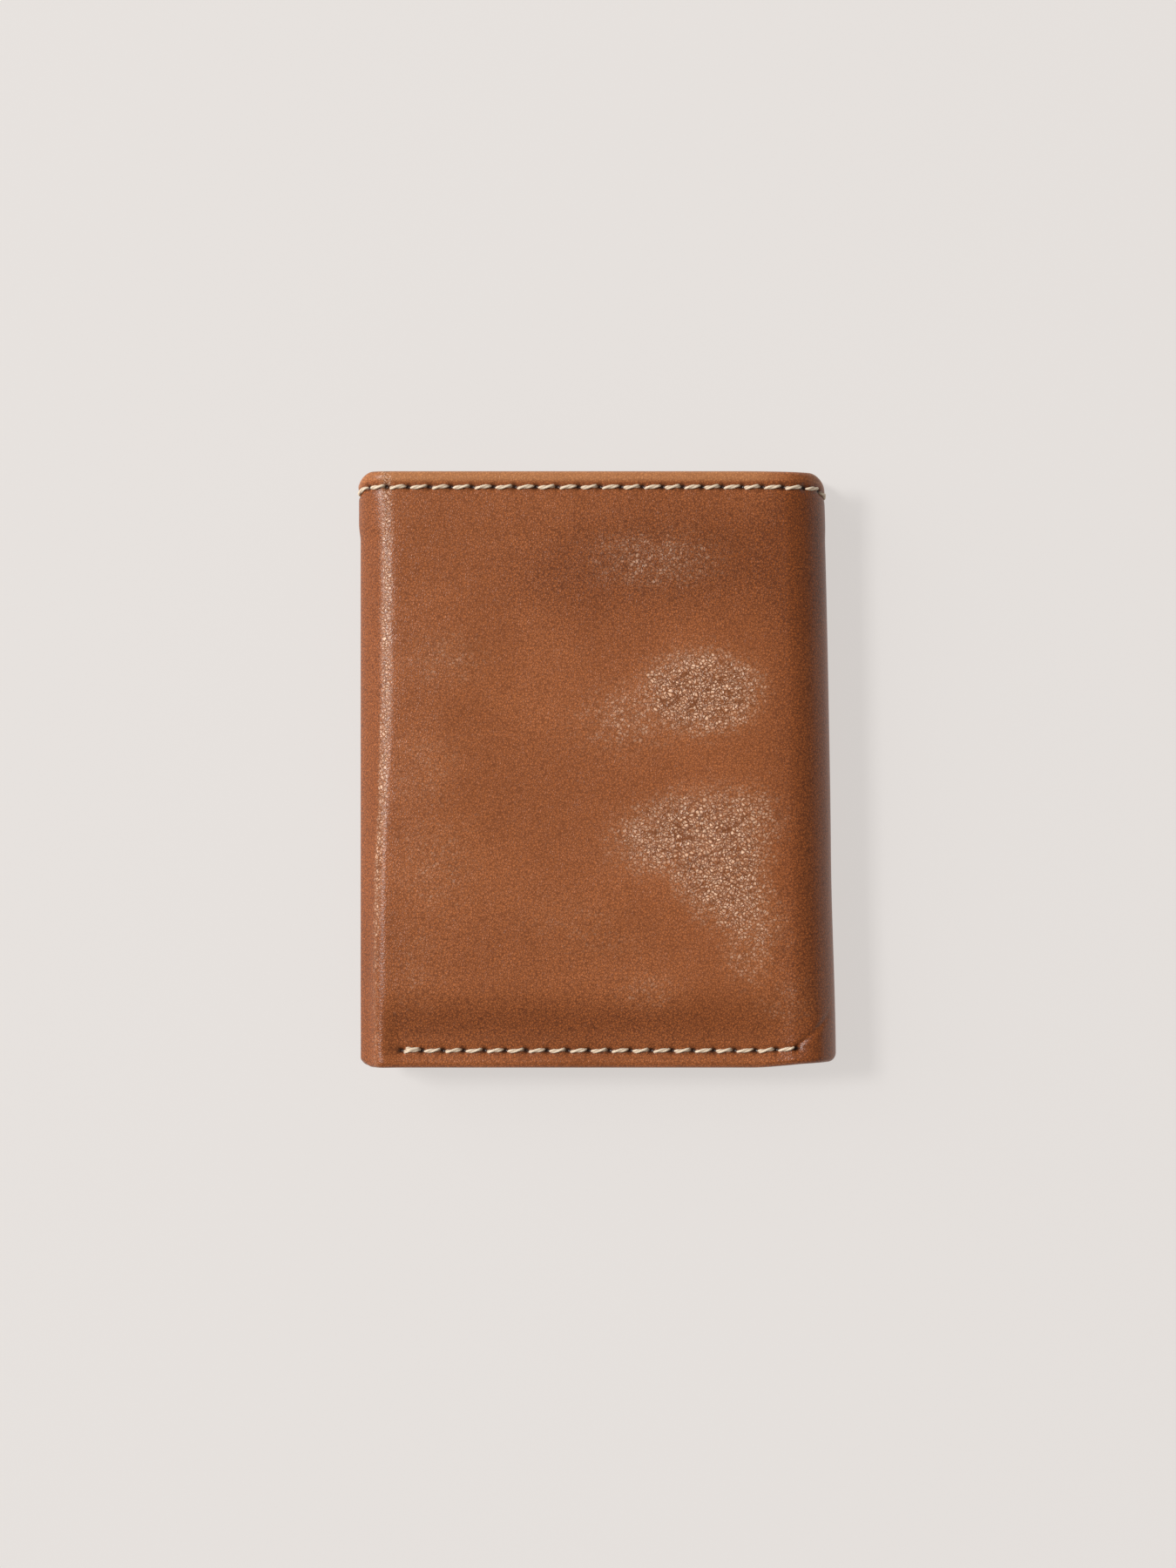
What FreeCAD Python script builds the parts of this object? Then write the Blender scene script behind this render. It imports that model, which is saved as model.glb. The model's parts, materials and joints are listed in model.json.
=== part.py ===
"""Trifold leather wallet, closed, lying on its outer flap.

One strip of shell leather runs from the inner flap's free edge, round the inner fold, across the
centre panel, round the outer fold, and along the outer flap. Every layer of the wallet follows
that strip at its own depth below the outside face. The row frame is in millimetres: +X towards
the outer fold, +Y towards the bill opening, +Z up through the centre panel's outside face, with
the origin under the middle of the closed wallet.
"""

import FreeCAD
import Part

import math
import os

Vector = FreeCAD.Vector
UP_Y = Vector(0, 1, 0)

# Driving dimensions of the closed wallet.
WIDTH = 86.0
HEIGHT = 108.0
OUTER_FLAP_EDGE_X = -41.0
INNER_FLAP_EDGE_X = 23.0
FLAP_CLEARANCE = 0.6
CORNER_RADIUS = 3.5

# Depth of each flat layer below the outside face of its panel: (outside, inside).
SHELL = (0.0, 1.0)
TOP_HEM = (1.0, 1.7)
SEAM_HEM = (1.0, 2.0)
LINING = (1.0, 1.2)
BILL_WALL = (2.05, 2.5)
CARD_PANEL = (2.65, 3.25)
WINDOW_FILM = (3.4, 3.55)
WINDOW_FRAME = (3.55, 4.15)

# Thickness of the pocket leather and lining, and the room a card slips into.
POCKET_LEATHER = 0.55
POCKET_LINING = 0.15
CARD_SLIP = 0.15

# Heights measured from the middle of the wallet.
TOP_Y = HEIGHT / 2
BOTTOM_Y = -HEIGHT / 2
TOP_HEM_DEPTH = 10.5
BOTTOM_HEM_DEPTH = 8.0
SIDE_HEM_DEPTH = 7.0
EDGE_ROUNDING = 0.8
HEM_ROUNDING = 0.5
LINING_MARGIN = 0.2
BILL_WALL_TOP_Y = 50.0
CARD_PANEL_TOP_Y = 46.0
SLOT_TOPS_Y = {"back": 36.0, "middle": 24.0, "front": 12.0}
CARD_LENGTH = 85.6
CARD_SHOWS = 13.0
STRIP_HEIGHT = 20.0
STEP_LENGTH = 4.0
STEP_OVERLAP = 1.0
POCKET_LINING_TOP_INSET = 1.0
WINDOW_SLOT_TOP_Y = 40.0

# Widths of what is sewn on the inside of each panel, as X ranges in the closed wallet.
OUTER_POCKETS_X = (OUTER_FLAP_EDGE_X + 0.3, 25.0)
CENTER_POCKETS_X = (-34.0, 31.0)
INNER_POCKETS_X = (-37.8, INNER_FLAP_EDGE_X - 0.3)
LINING_INSET = 3.0
WINDOW_SIDE_BORDER = 7.0
WINDOW_BOTTOM_BORDER = 8.0
WINDOW_TOP_BORDER = 12.0
FILM_BOTTOM_INSET = 4.0
FILM_TOP_INSET = 6.0
WINDOW_CORNER = 3.0
THUMB_NOTCH_RADIUS = 9.0
THUMB_NOTCH_DEPTH = 5.0
CUT_SPARE = 1.0

# Folds: hinge lines per half turn, and the slit between neighbouring stiff strips.
OUTER_FOLD_HINGES = 3
INNER_FOLD_HINGES = 2
STRIP_GAP = 0.3

# Stitching.
STITCH_PITCH = 3.84
STITCH_LENGTH = 2.9
THREAD_RADIUS = 0.32
THREAD_DEPTH = THREAD_RADIUS + 0.02
LEG_RADIUS = 0.8 * THREAD_RADIUS
STITCH_INSET = 2.65
BOTTOM_ROW_X = (-35.4, 36.3)

# Each pocket lies on the one behind it, so it steps down where that one ends. A course is a list
# of (height, depth of the outside face) from the foot of a layer to its top.
BACK_FACE = CARD_PANEL[1] + CARD_SLIP
PLY = POCKET_LINING + POCKET_LEATHER
MIDDLE_LOW = BACK_FACE + POCKET_LINING + CARD_SLIP
MIDDLE_HIGH = BACK_FACE + PLY + CARD_SLIP
MIDDLE_STEP_Y = SLOT_TOPS_Y["back"] - STRIP_HEIGHT - STEP_OVERLAP
FRONT_LOW = MIDDLE_LOW + POCKET_LINING + CARD_SLIP
FRONT_HIGH = MIDDLE_LOW + PLY + 2 * CARD_SLIP
FRONT_STEP_Y = SLOT_TOPS_Y["middle"] - STRIP_HEIGHT - STEP_OVERLAP
COURSES = {
    "back": [(BOTTOM_Y, BACK_FACE), (SLOT_TOPS_Y["back"], BACK_FACE)],
    "middle": [
        (BOTTOM_Y, MIDDLE_LOW),
        (MIDDLE_STEP_Y - STEP_LENGTH, MIDDLE_LOW),
        (MIDDLE_STEP_Y, MIDDLE_HIGH),
        (SLOT_TOPS_Y["middle"], MIDDLE_HIGH),
    ],
    "front": [
        (BOTTOM_Y, FRONT_LOW),
        (FRONT_STEP_Y - STEP_LENGTH, FRONT_LOW),
        (FRONT_STEP_Y, FRONT_HIGH),
        (SLOT_TOPS_Y["front"], FRONT_HIGH),
    ],
}

# Stack heights that follow from the layers.
PANEL_STACK = FRONT_HIGH + POCKET_LEATHER
INNER_STACK = WINDOW_FRAME[1]
INNER_FLAP_Z = PANEL_STACK + FLAP_CLEARANCE
CENTER_Z = INNER_FLAP_Z + INNER_STACK + FLAP_CLEARANCE + PANEL_STACK
OUTER_FOLD_RADIUS = CENTER_Z / 2
INNER_FOLD_RADIUS = (CENTER_Z - INNER_FLAP_Z) / 2
OUTER_FOLD_X = WIDTH / 2 - OUTER_FOLD_RADIUS
INNER_FOLD_X = -WIDTH / 2 + INNER_FOLD_RADIUS


class Flat:
    """A flat run of the shell leather. inward is +1 where the inside faces up."""

    def __init__(self, x_start, x_end, z, inward):
        self.x_start, self.z, self.inward = x_start, z, inward
        self.way = 1 if x_end > x_start else -1
        self.length = abs(x_end - x_start)

    def frame(self, s):
        """The outside face's point, its direction of travel and its inward normal at run s."""
        return (
            Vector(self.x_start + self.way * s, 0, self.z),
            Vector(self.way, 0, 0),
            Vector(0, 0, self.inward),
        )

    def sweep(self, face, length):
        return face.extrude(Vector(self.way * length, 0, 0))


class Bend:
    """A half turn of the shell leather about a line along Y, always turning about +Y."""

    def __init__(self, x, z, radius, start_deg, hinges):
        self.centre = Vector(x, 0, z)
        self.radius, self.start_deg, self.hinges = radius, start_deg, hinges
        self.length = math.pi * radius
        self.step = self.length / hinges

    def frame(self, s):
        """The outside face's point, its direction of travel and its inward normal at run s."""
        angle = math.radians(self.start_deg) - s / self.radius
        out = Vector(math.cos(angle), 0, math.sin(angle))
        return self.centre + out * self.radius, Vector(out.z, 0, -out.x), -out

    def sweep(self, face, length):
        return face.revolve(self.centre, UP_Y, math.degrees(length / self.radius))

    def hinge_runs(self):
        """Runs at which the hinge lines cross the outside face."""
        return [(i + 0.5) * self.step for i in range(self.hinges)]

    def hinge_axes(self):
        """Hinge lines, set so that the outside face keeps its length when the fold opens."""
        half = self.step / self.radius / 2
        reach = self.radius * half / math.sin(half)
        return [self.centre - self.frame(s)[2] * reach for s in self.hinge_runs()]

    def strips(self):
        """(start, end) of each stiff strip between hinge lines, with the slits taken off."""
        cuts = [0.0, *self.hinge_runs(), self.length]
        slit = STRIP_GAP / 2
        last = len(cuts) - 2
        return [
            (cuts[i] + (slit if i else 0), cuts[i + 1] - (slit if i < last else 0))
            for i in range(len(cuts) - 1)
        ]


INNER_FLAP = Flat(INNER_FLAP_EDGE_X, INNER_FOLD_X, INNER_FLAP_Z, 1)
INNER_FOLD = Bend(
    INNER_FOLD_X, INNER_FLAP_Z + INNER_FOLD_RADIUS, INNER_FOLD_RADIUS, -90, INNER_FOLD_HINGES
)
CENTER_PANEL = Flat(INNER_FOLD_X, OUTER_FOLD_X, CENTER_Z, -1)
OUTER_FOLD = Bend(OUTER_FOLD_X, OUTER_FOLD_RADIUS, OUTER_FOLD_RADIUS, 90, OUTER_FOLD_HINGES)
OUTER_FLAP = Flat(OUTER_FOLD_X, OUTER_FLAP_EDGE_X, 0.0, 1)


def profile(run, s, depths, heights, outer_round=(0, 0), inner_round=(0, 0)):
    """A layer's cross-section at run s: depths by heights, each rounding as (bottom, top)."""
    origin, _, inward = run.frame(s)
    (d0, d1), (y0, y1) = depths, heights

    def at(d, y):
        return origin + inward * d + UP_Y * y

    corners = [
        (d0, y0, 1, 1, outer_round[0]),
        (d1, y0, -1, 1, inner_round[0]),
        (d1, y1, -1, -1, inner_round[1]),
        (d0, y1, 1, -1, outer_round[1]),
    ]
    edges = []
    entry_points, exit_points = [], []
    for i, (d, y, d_way, y_way, r) in enumerate(corners):
        along_d, along_y = at(d + d_way * r, y), at(d, y + y_way * r)
        enter, leave = (along_y, along_d) if i % 2 == 0 else (along_d, along_y)
        entry_points.append(enter)
        exit_points.append(leave)
        if r:
            bulge = r * (1 - math.sqrt(0.5))
            middle = at(d + d_way * bulge, y + y_way * bulge)
            edges.append(Part.Arc(enter, middle, leave).toShape())
    for i in range(4):
        start, end = exit_points[i], entry_points[(i + 1) % 4]
        edges.append(Part.LineSegment(start, end).toShape())
    return Part.Face(Part.Wire(Part.__sortEdges__(edges)))


def layer(run, span, depths, heights, **rounding):
    """One solid of a layer along part of a run of the shell leather."""
    start, end = span
    return run.sweep(profile(run, start, depths, heights, **rounding), end - start)


def shell_solids(run, span):
    """The shell leather over a span, with its top and bottom edges turned in as hems."""
    rounding = (EDGE_ROUNDING, EDGE_ROUNDING)
    top = (TOP_Y - TOP_HEM_DEPTH, TOP_Y)
    bottom = (BOTTOM_Y, BOTTOM_Y + BOTTOM_HEM_DEPTH)
    return [
        layer(run, span, SHELL, (BOTTOM_Y, TOP_Y), outer_round=rounding),
        layer(run, span, TOP_HEM, top, inner_round=(0, HEM_ROUNDING)),
        layer(run, span, SEAM_HEM, bottom, inner_round=(HEM_ROUNDING, 0)),
    ]


def lining_solids(run, span):
    low = BOTTOM_Y + BOTTOM_HEM_DEPTH + LINING_MARGIN
    high = TOP_Y - TOP_HEM_DEPTH - LINING_MARGIN
    return [layer(run, span, LINING, (low, high))]


def bill_wall_solids(run, span):
    return [layer(run, span, BILL_WALL, (BOTTOM_Y + EDGE_ROUNDING, BILL_WALL_TOP_Y))]


def fold_ends(bend, which):
    """The stiff strip of a fold that belongs to the flat run before it or after it."""
    return bend.strips()[0 if which == "first" else -1]


def x_range(run, x_low, x_high):
    """A span of a flat run, given the X range it covers."""
    ends = sorted((x - run.x_start) * run.way for x in (x_low, x_high))
    return ends[0], ends[1]


def plate(run, xs, ys, depths):
    """A flat piece on the inside of a panel."""
    return layer(run, x_range(run, *xs), depths, ys)


def depth_at(course, y):
    """The depth of a course's outside face at a height."""
    for (y0, d0), (y1, d1) in zip(course, course[1:]):
        if y <= y1:
            return d0 + (d1 - d0) * (y - y0) / (y1 - y0)
    return course[-1][1]


def stepped_plate(run, xs, ys, course, offset, thickness):
    """A piece that follows a course between two heights, offset further in."""
    heights = [ys[0], *[y for y, _ in course if ys[0] < y < ys[1]], ys[1]]
    start, end = x_range(run, *xs)
    origin, _, inward = run.frame(start)
    near = [origin + inward * (depth_at(course, y) + offset) + UP_Y * y for y in heights]
    far = [point + inward * thickness for point in reversed(near)]
    outline = Part.makePolygon([*near, *far, near[0]])
    return run.sweep(Part.Face(outline), end - start)


def round_free_corners(solids, edge_x, inwards):
    """Rounds the two corners at a flap's free edge in plan. inwards is the way to the fold."""
    corner = Vector(edge_x if inwards > 0 else edge_x - WIDTH, BOTTOM_Y, -CUT_SPARE)
    block = Part.makeBox(WIDTH, HEIGHT, CENTER_Z + 2 * CUT_SPARE, corner)
    upright = [
        e
        for e in block.Edges
        if abs(e.Vertexes[0].Point.x - edge_x) < 1e-6
        and abs(e.Vertexes[1].Point.x - edge_x) < 1e-6
        and abs(e.Vertexes[0].Point.y - e.Vertexes[1].Point.y) < 1e-6
    ]
    block = block.makeFillet(CORNER_RADIUS, upright)
    return [block.common(s).Solids[0] for s in solids]


def side_hem(run):
    """The turned-in free edge of a flap, between its top and bottom hems."""
    ys = (BOTTOM_Y + BOTTOM_HEM_DEPTH, TOP_Y - TOP_HEM_DEPTH)
    free_end = run.x_start if run is INNER_FLAP else run.x_start + run.way * run.length
    inwards = -1 if run is INNER_FLAP else 1
    return plate(run, (free_end, free_end + inwards * SIDE_HEM_DEPTH), ys, SEAM_HEM)


def lockstitch(outside_bar, inside_bar, leg_foot, leg_end):
    """A stitch: a bar on each face of the leather, joined by a leg through the layers."""
    through = leg_end - leg_foot
    leg = Part.makeCylinder(LEG_RADIUS, through.Length, leg_foot, through)
    return leg.fuse([outside_bar, inside_bar]).removeSplitter().Solids[0]


def cross_stitch(run, s, y, depth):
    """A stitch along a run, centred at run s. Its bars follow the run round a fold."""

    def bar(d):
        origin, along, inward = run.frame(s - STITCH_LENGTH / 2)
        ring = Part.Circle(origin + inward * d + UP_Y * y, along, THREAD_RADIUS)
        return run.sweep(Part.Face(Part.Wire(ring.toShape())), STITCH_LENGTH)

    origin, _, inward = run.frame(s + STITCH_LENGTH / 2 - THREAD_RADIUS)
    d0, d1 = THREAD_DEPTH, depth - THREAD_DEPTH
    foot = origin + UP_Y * y
    return lockstitch(bar(d0), bar(d1), foot + inward * d0, foot + inward * d1)


def upright_stitch(point, inward, depths):
    """A stitch along Y, between two depths below the outside face."""
    ends = [point + inward * (depths[0] + THREAD_DEPTH), point + inward * (depths[1] - THREAD_DEPTH)]
    back = UP_Y * (STITCH_LENGTH / 2)
    bars = [Part.makeCylinder(THREAD_RADIUS, STITCH_LENGTH, p - back, UP_Y) for p in ends]
    leg_shift = back - UP_Y * THREAD_RADIUS
    return lockstitch(*bars, ends[0] + leg_shift, ends[1] + leg_shift)


def row_runs(length):
    """Evenly spaced stitch centres over a length, at the nearest whole number of stitches."""
    count = max(1, round(length / STITCH_PITCH))
    return [(i + 0.5) * length / count for i in range(count)]


def top_stitches(spans):
    """The top row over one stiff piece, given its (run, (start, end)) spans in order."""
    y = TOP_Y - STITCH_INSET
    made = []
    for centre in row_runs(sum(end - start for _, (start, end) in spans)):
        left = centre
        for run, (start, end) in spans:
            if left <= end - start:
                made.append(cross_stitch(run, start + left, y, TOP_HEM[1]))
                break
            left -= end - start
    return made


def inside_depth(faces, y):
    """Depth of the innermost face at a height, given (top, course, thickness) from within."""
    for top, course, thickness in faces:
        if y < top - STITCH_LENGTH / 2:
            return depth_at(course, y) + thickness
    return SEAM_HEM[1]


def backing_faces():
    """The card panel and bill wall, as (top, course, thickness)."""
    return [
        (CARD_PANEL_TOP_Y, [(BOTTOM_Y, CARD_PANEL[1]), (TOP_Y, CARD_PANEL[1])], 0),
        (BILL_WALL_TOP_Y, [(BOTTOM_Y, BILL_WALL[1]), (TOP_Y, BILL_WALL[1])], 0),
    ]


def pocket_faces():
    """The card pockets from the front one back, then what they are sewn to."""
    return [
        (SLOT_TOPS_Y["front"], COURSES["front"], POCKET_LEATHER),
        (SLOT_TOPS_Y["middle"], COURSES["middle"], PLY),
        (SLOT_TOPS_Y["back"], COURSES["back"], PLY),
        *backing_faces(),
    ]


def window_faces():
    """The card window's frame, then what it is sewn to."""
    course = [(BOTTOM_Y, WINDOW_FRAME[1]), (TOP_Y, WINDOW_FRAME[1])]
    return [(WINDOW_SLOT_TOP_Y, course, 0), *backing_faces()]


def bottom_stitches(run, xs, pockets_x, faces):
    """The bottom row. It goes through the pockets where they lie, and stops short beside them."""
    y = BOTTOM_Y + STITCH_INSET
    start, end = x_range(run, *xs)
    low, high = pockets_x[0] + STITCH_LENGTH, pockets_x[1] - STITCH_LENGTH
    made = []
    for offset in row_runs(end - start):
        s = start + offset
        in_pockets = low < run.frame(s)[0].x < high
        reach = inside_depth(faces, y) if in_pockets else BILL_WALL[1]
        made.append(cross_stitch(run, s, y, reach))
    return made


def upright_stitches(run, x, ys, outside, faces):
    """A row along Y, from a depth outside to whatever face is innermost at each height."""
    made = []
    for offset in row_runs(ys[1] - ys[0]):
        y = ys[0] + offset
        point, _, inward = run.frame(abs(x - run.x_start))
        depths = (outside, inside_depth(faces, y))
        made.append(upright_stitch(point + UP_Y * y, inward, depths))
    return made


def card_pockets(run, xs):
    """Card panel and three upright card slots, as a dict of node endings to solids."""
    low = BOTTOM_Y + EDGE_ROUNDING
    lining_xs = (xs[0] + LINING_INSET, xs[1] - LINING_INSET)

    def pocket(slot, foot, offset):
        ys = (foot, SLOT_TOPS_Y[slot])
        return [stepped_plate(run, xs, ys, COURSES[slot], offset, POCKET_LEATHER)]

    def pocket_lining(slot):
        top = SLOT_TOPS_Y[slot]
        ys = (top + CARD_SHOWS - CARD_LENGTH, top - POCKET_LINING_TOP_INSET)
        return [stepped_plate(run, lining_xs, ys, COURSES[slot], 0, POCKET_LINING)]

    back_foot, middle_foot = (SLOT_TOPS_Y[slot] - STRIP_HEIGHT for slot in ("back", "middle"))
    return {
        "card_panel": [plate(run, xs, (low, CARD_PANEL_TOP_Y), CARD_PANEL)],
        "back_pocket": pocket("back", back_foot, POCKET_LINING),
        "back_pocket_lining": pocket_lining("back"),
        "middle_pocket": pocket("middle", middle_foot, POCKET_LINING),
        "middle_pocket_lining": pocket_lining("middle"),
        "front_pocket": pocket("front", low, 0),
    }


def window_frame(run, xs):
    """The leather frame round the card window, with a thumb notch in its top edge."""
    low = BOTTOM_Y + EDGE_ROUNDING
    frame = plate(run, xs, (low, WINDOW_SLOT_TOP_Y), WINDOW_FRAME)
    z = frame.BoundBox.ZMin - CUT_SPARE
    tall = WINDOW_FRAME[1] - WINDOW_FRAME[0] + 2 * CUT_SPARE
    opening_low = low + WINDOW_BOTTOM_BORDER
    opening = Part.makeBox(
        xs[1] - xs[0] - 2 * WINDOW_SIDE_BORDER,
        WINDOW_SLOT_TOP_Y - WINDOW_TOP_BORDER - opening_low,
        tall,
        Vector(xs[0] + WINDOW_SIDE_BORDER, opening_low, z),
    )
    upright = [e for e in opening.Edges if abs(e.tangentAt(e.FirstParameter).z) > 0.5]
    opening = opening.makeFillet(WINDOW_CORNER, upright)
    notch_y = WINDOW_SLOT_TOP_Y - THUMB_NOTCH_DEPTH + THUMB_NOTCH_RADIUS
    notch = Part.makeCylinder(THUMB_NOTCH_RADIUS, tall, Vector(sum(xs) / 2, notch_y, z))
    return frame.cut(opening).cut(notch).Solids[0]


def outer_flap():
    """Everything that rides on the outer flap, which lies on the table."""
    run, bend = OUTER_FLAP, OUTER_FOLD
    whole, end = (0, run.length), fold_ends(bend, "last")
    corners = (OUTER_FLAP_EDGE_X, 1)
    lining_span = (0, run.length - SIDE_HEM_DEPTH - LINING_MARGIN)
    flat_shell = round_free_corners(shell_solids(run, whole), *corners)
    row_x = OUTER_FLAP_EDGE_X + STITCH_INSET
    pocket_x = OUTER_POCKETS_X[1] - STITCH_INSET
    sewn_xs = (row_x + STITCH_INSET, OUTER_FOLD_X)
    sewn_ys = (BOTTOM_Y + 2 * STITCH_INSET, TOP_Y - 2 * STITCH_INSET)
    pocket_ys = (sewn_ys[0], SLOT_TOPS_Y["back"])
    faces = pocket_faces()
    nodes = {
        "shell": [*flat_shell, side_hem(run), *shell_solids(bend, end)],
        "lining": [*lining_solids(run, lining_span), *lining_solids(bend, end)],
        "bill_wall": [
            *round_free_corners(bill_wall_solids(run, whole), *corners),
            *bill_wall_solids(bend, end),
        ],
        **card_pockets(run, OUTER_POCKETS_X),
        "top_stitches": top_stitches([(bend, end), (run, (0, run.length - 2 * STITCH_INSET))]),
        "bottom_stitches": bottom_stitches(run, sewn_xs, OUTER_POCKETS_X, faces),
        "side_stitches": upright_stitches(run, row_x, sewn_ys, 0, faces),
        "pocket_stitches": upright_stitches(run, pocket_x, pocket_ys, CARD_PANEL[0], faces),
    }
    for name in ("card_panel", "front_pocket"):
        nodes[name] = round_free_corners(nodes[name], *corners)
    return {"outer_flap_" + k: v for k, v in nodes.items()}


def center_panel():
    """Everything that rides on the centre panel, whose outside face is the one on top."""
    run = CENTER_PANEL
    whole = (0, run.length)
    before, after = fold_ends(INNER_FOLD, "last"), fold_ends(OUTER_FOLD, "first")

    def whole_layer(solids_of):
        return [
            *solids_of(run, whole),
            *solids_of(INNER_FOLD, before),
            *solids_of(OUTER_FOLD, after),
        ]

    xs = CENTER_POCKETS_X
    pocket_ys = (BOTTOM_Y + 2 * STITCH_INSET, SLOT_TOPS_Y["back"])
    pocket_rows_x = (xs[0] + STITCH_INSET, xs[1] - STITCH_INSET)
    faces = pocket_faces()
    nodes = {
        "shell": whole_layer(shell_solids),
        "lining": whole_layer(lining_solids),
        "bill_wall": whole_layer(bill_wall_solids),
        **card_pockets(run, xs),
        "top_stitches": top_stitches([(INNER_FOLD, before), (run, whole), (OUTER_FOLD, after)]),
        "bottom_stitches": bottom_stitches(run, BOTTOM_ROW_X, xs, faces),
        "pocket_stitches": [
            stitch
            for x in pocket_rows_x
            for stitch in upright_stitches(run, x, pocket_ys, CARD_PANEL[0], faces)
        ],
    }
    return {"center_panel_" + k: v for k, v in nodes.items()}


def inner_flap():
    """Everything that rides on the inner flap, which lies between the other two panels."""
    run, bend = INNER_FLAP, INNER_FOLD
    whole, end = (0, run.length), fold_ends(bend, "first")
    corners = (INNER_FLAP_EDGE_X, -1)
    lining_span = (SIDE_HEM_DEPTH + LINING_MARGIN, run.length)
    flat_shell = round_free_corners(shell_solids(run, whole), *corners)
    xs = INNER_POCKETS_X
    low = BOTTOM_Y + EDGE_ROUNDING
    row_x = INNER_FLAP_EDGE_X - STITCH_INSET
    sewn_ys = (BOTTOM_Y + 2 * STITCH_INSET, TOP_Y - 2 * STITCH_INSET)
    sewn_xs = (INNER_FOLD_X + STITCH_LENGTH, row_x - STITCH_INSET)
    pocket_x = xs[0] + STITCH_INSET
    pocket_ys = (sewn_ys[0], WINDOW_SLOT_TOP_Y)
    faces = window_faces()
    film_xs = (xs[0] + LINING_INSET, xs[1] - LINING_INSET)
    film_ys = (low + FILM_BOTTOM_INSET, WINDOW_SLOT_TOP_Y - FILM_TOP_INSET)
    nodes = {
        "shell": [*flat_shell, side_hem(run), *shell_solids(bend, end)],
        "lining": [*lining_solids(run, lining_span), *lining_solids(bend, end)],
        "bill_wall": [
            *round_free_corners(bill_wall_solids(run, whole), *corners),
            *bill_wall_solids(bend, end),
        ],
        "card_panel": round_free_corners(
            [plate(run, xs, (low, CARD_PANEL_TOP_Y), CARD_PANEL)], *corners
        ),
        "window_film": [plate(run, film_xs, film_ys, WINDOW_FILM)],
        "window_frame": round_free_corners([window_frame(run, xs)], *corners),
        "top_stitches": top_stitches([(run, (2 * STITCH_INSET, run.length)), (bend, end)]),
        "bottom_stitches": bottom_stitches(run, sewn_xs, xs, faces),
        "side_stitches": upright_stitches(run, row_x, sewn_ys, 0, faces),
        "pocket_stitches": upright_stitches(run, pocket_x, pocket_ys, CARD_PANEL[0], faces),
    }
    return {"inner_flap_" + k: v for k, v in nodes.items()}


def spine(name, bend, index):
    """One stiff strip in the middle of a fold."""
    span = bend.strips()[index]
    nodes = {
        "shell": shell_solids(bend, span),
        "lining": lining_solids(bend, span),
        "bill_wall": bill_wall_solids(bend, span),
        "top_stitches": top_stitches([(bend, span)]),
    }
    return {f"{name}_{k}": v for k, v in nodes.items()}


def bodies():
    """Rigid bodies of the wallet, each a dict of node names to solids."""
    return {
        "outer_flap": outer_flap(),
        "outer_spine_lower": spine("outer_spine_lower", OUTER_FOLD, 2),
        "outer_spine_upper": spine("outer_spine_upper", OUTER_FOLD, 1),
        "center_panel": center_panel(),
        "inner_spine": spine("inner_spine", INNER_FOLD, 1),
        "inner_flap": inner_flap(),
    }


def main():
    os.makedirs("parts", exist_ok=True)
    made = bodies()
    for body, nodes in made.items():
        for node, solids in nodes.items():
            shape = solids[0] if len(solids) == 1 else Part.makeCompound(solids)
            bad = [s for s in solids if not s.isValid() or s.Volume <= 0]
            if bad:
                print(f"{node}: {len(bad)} solids are not valid")
            shape.exportStep(f"parts/{node}.step")
        print(body, len(nodes), "nodes,", sum(len(s) for s in nodes.values()), "solids")
    print("outer fold hinge lines", OUTER_FOLD.hinge_axes())
    print("inner fold hinge lines", INNER_FOLD.hinge_axes())
    return made


MADE = main()
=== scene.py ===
"""Looks of the trifold wallet: one strip of pebbled leather folded over its card panels.

The shell leather is one developed surface. A place on it is (u, v, d): u millimetres along the
outside face from the inner flap's free edge, v millimetres up from the middle of the wallet, and d
millimetres below the outside face. Every layer and every stitch is placed through that surface, so
they share its dents and creases. Lengths are in millimetres until a mesh is made.
"""

import json
import math

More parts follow.
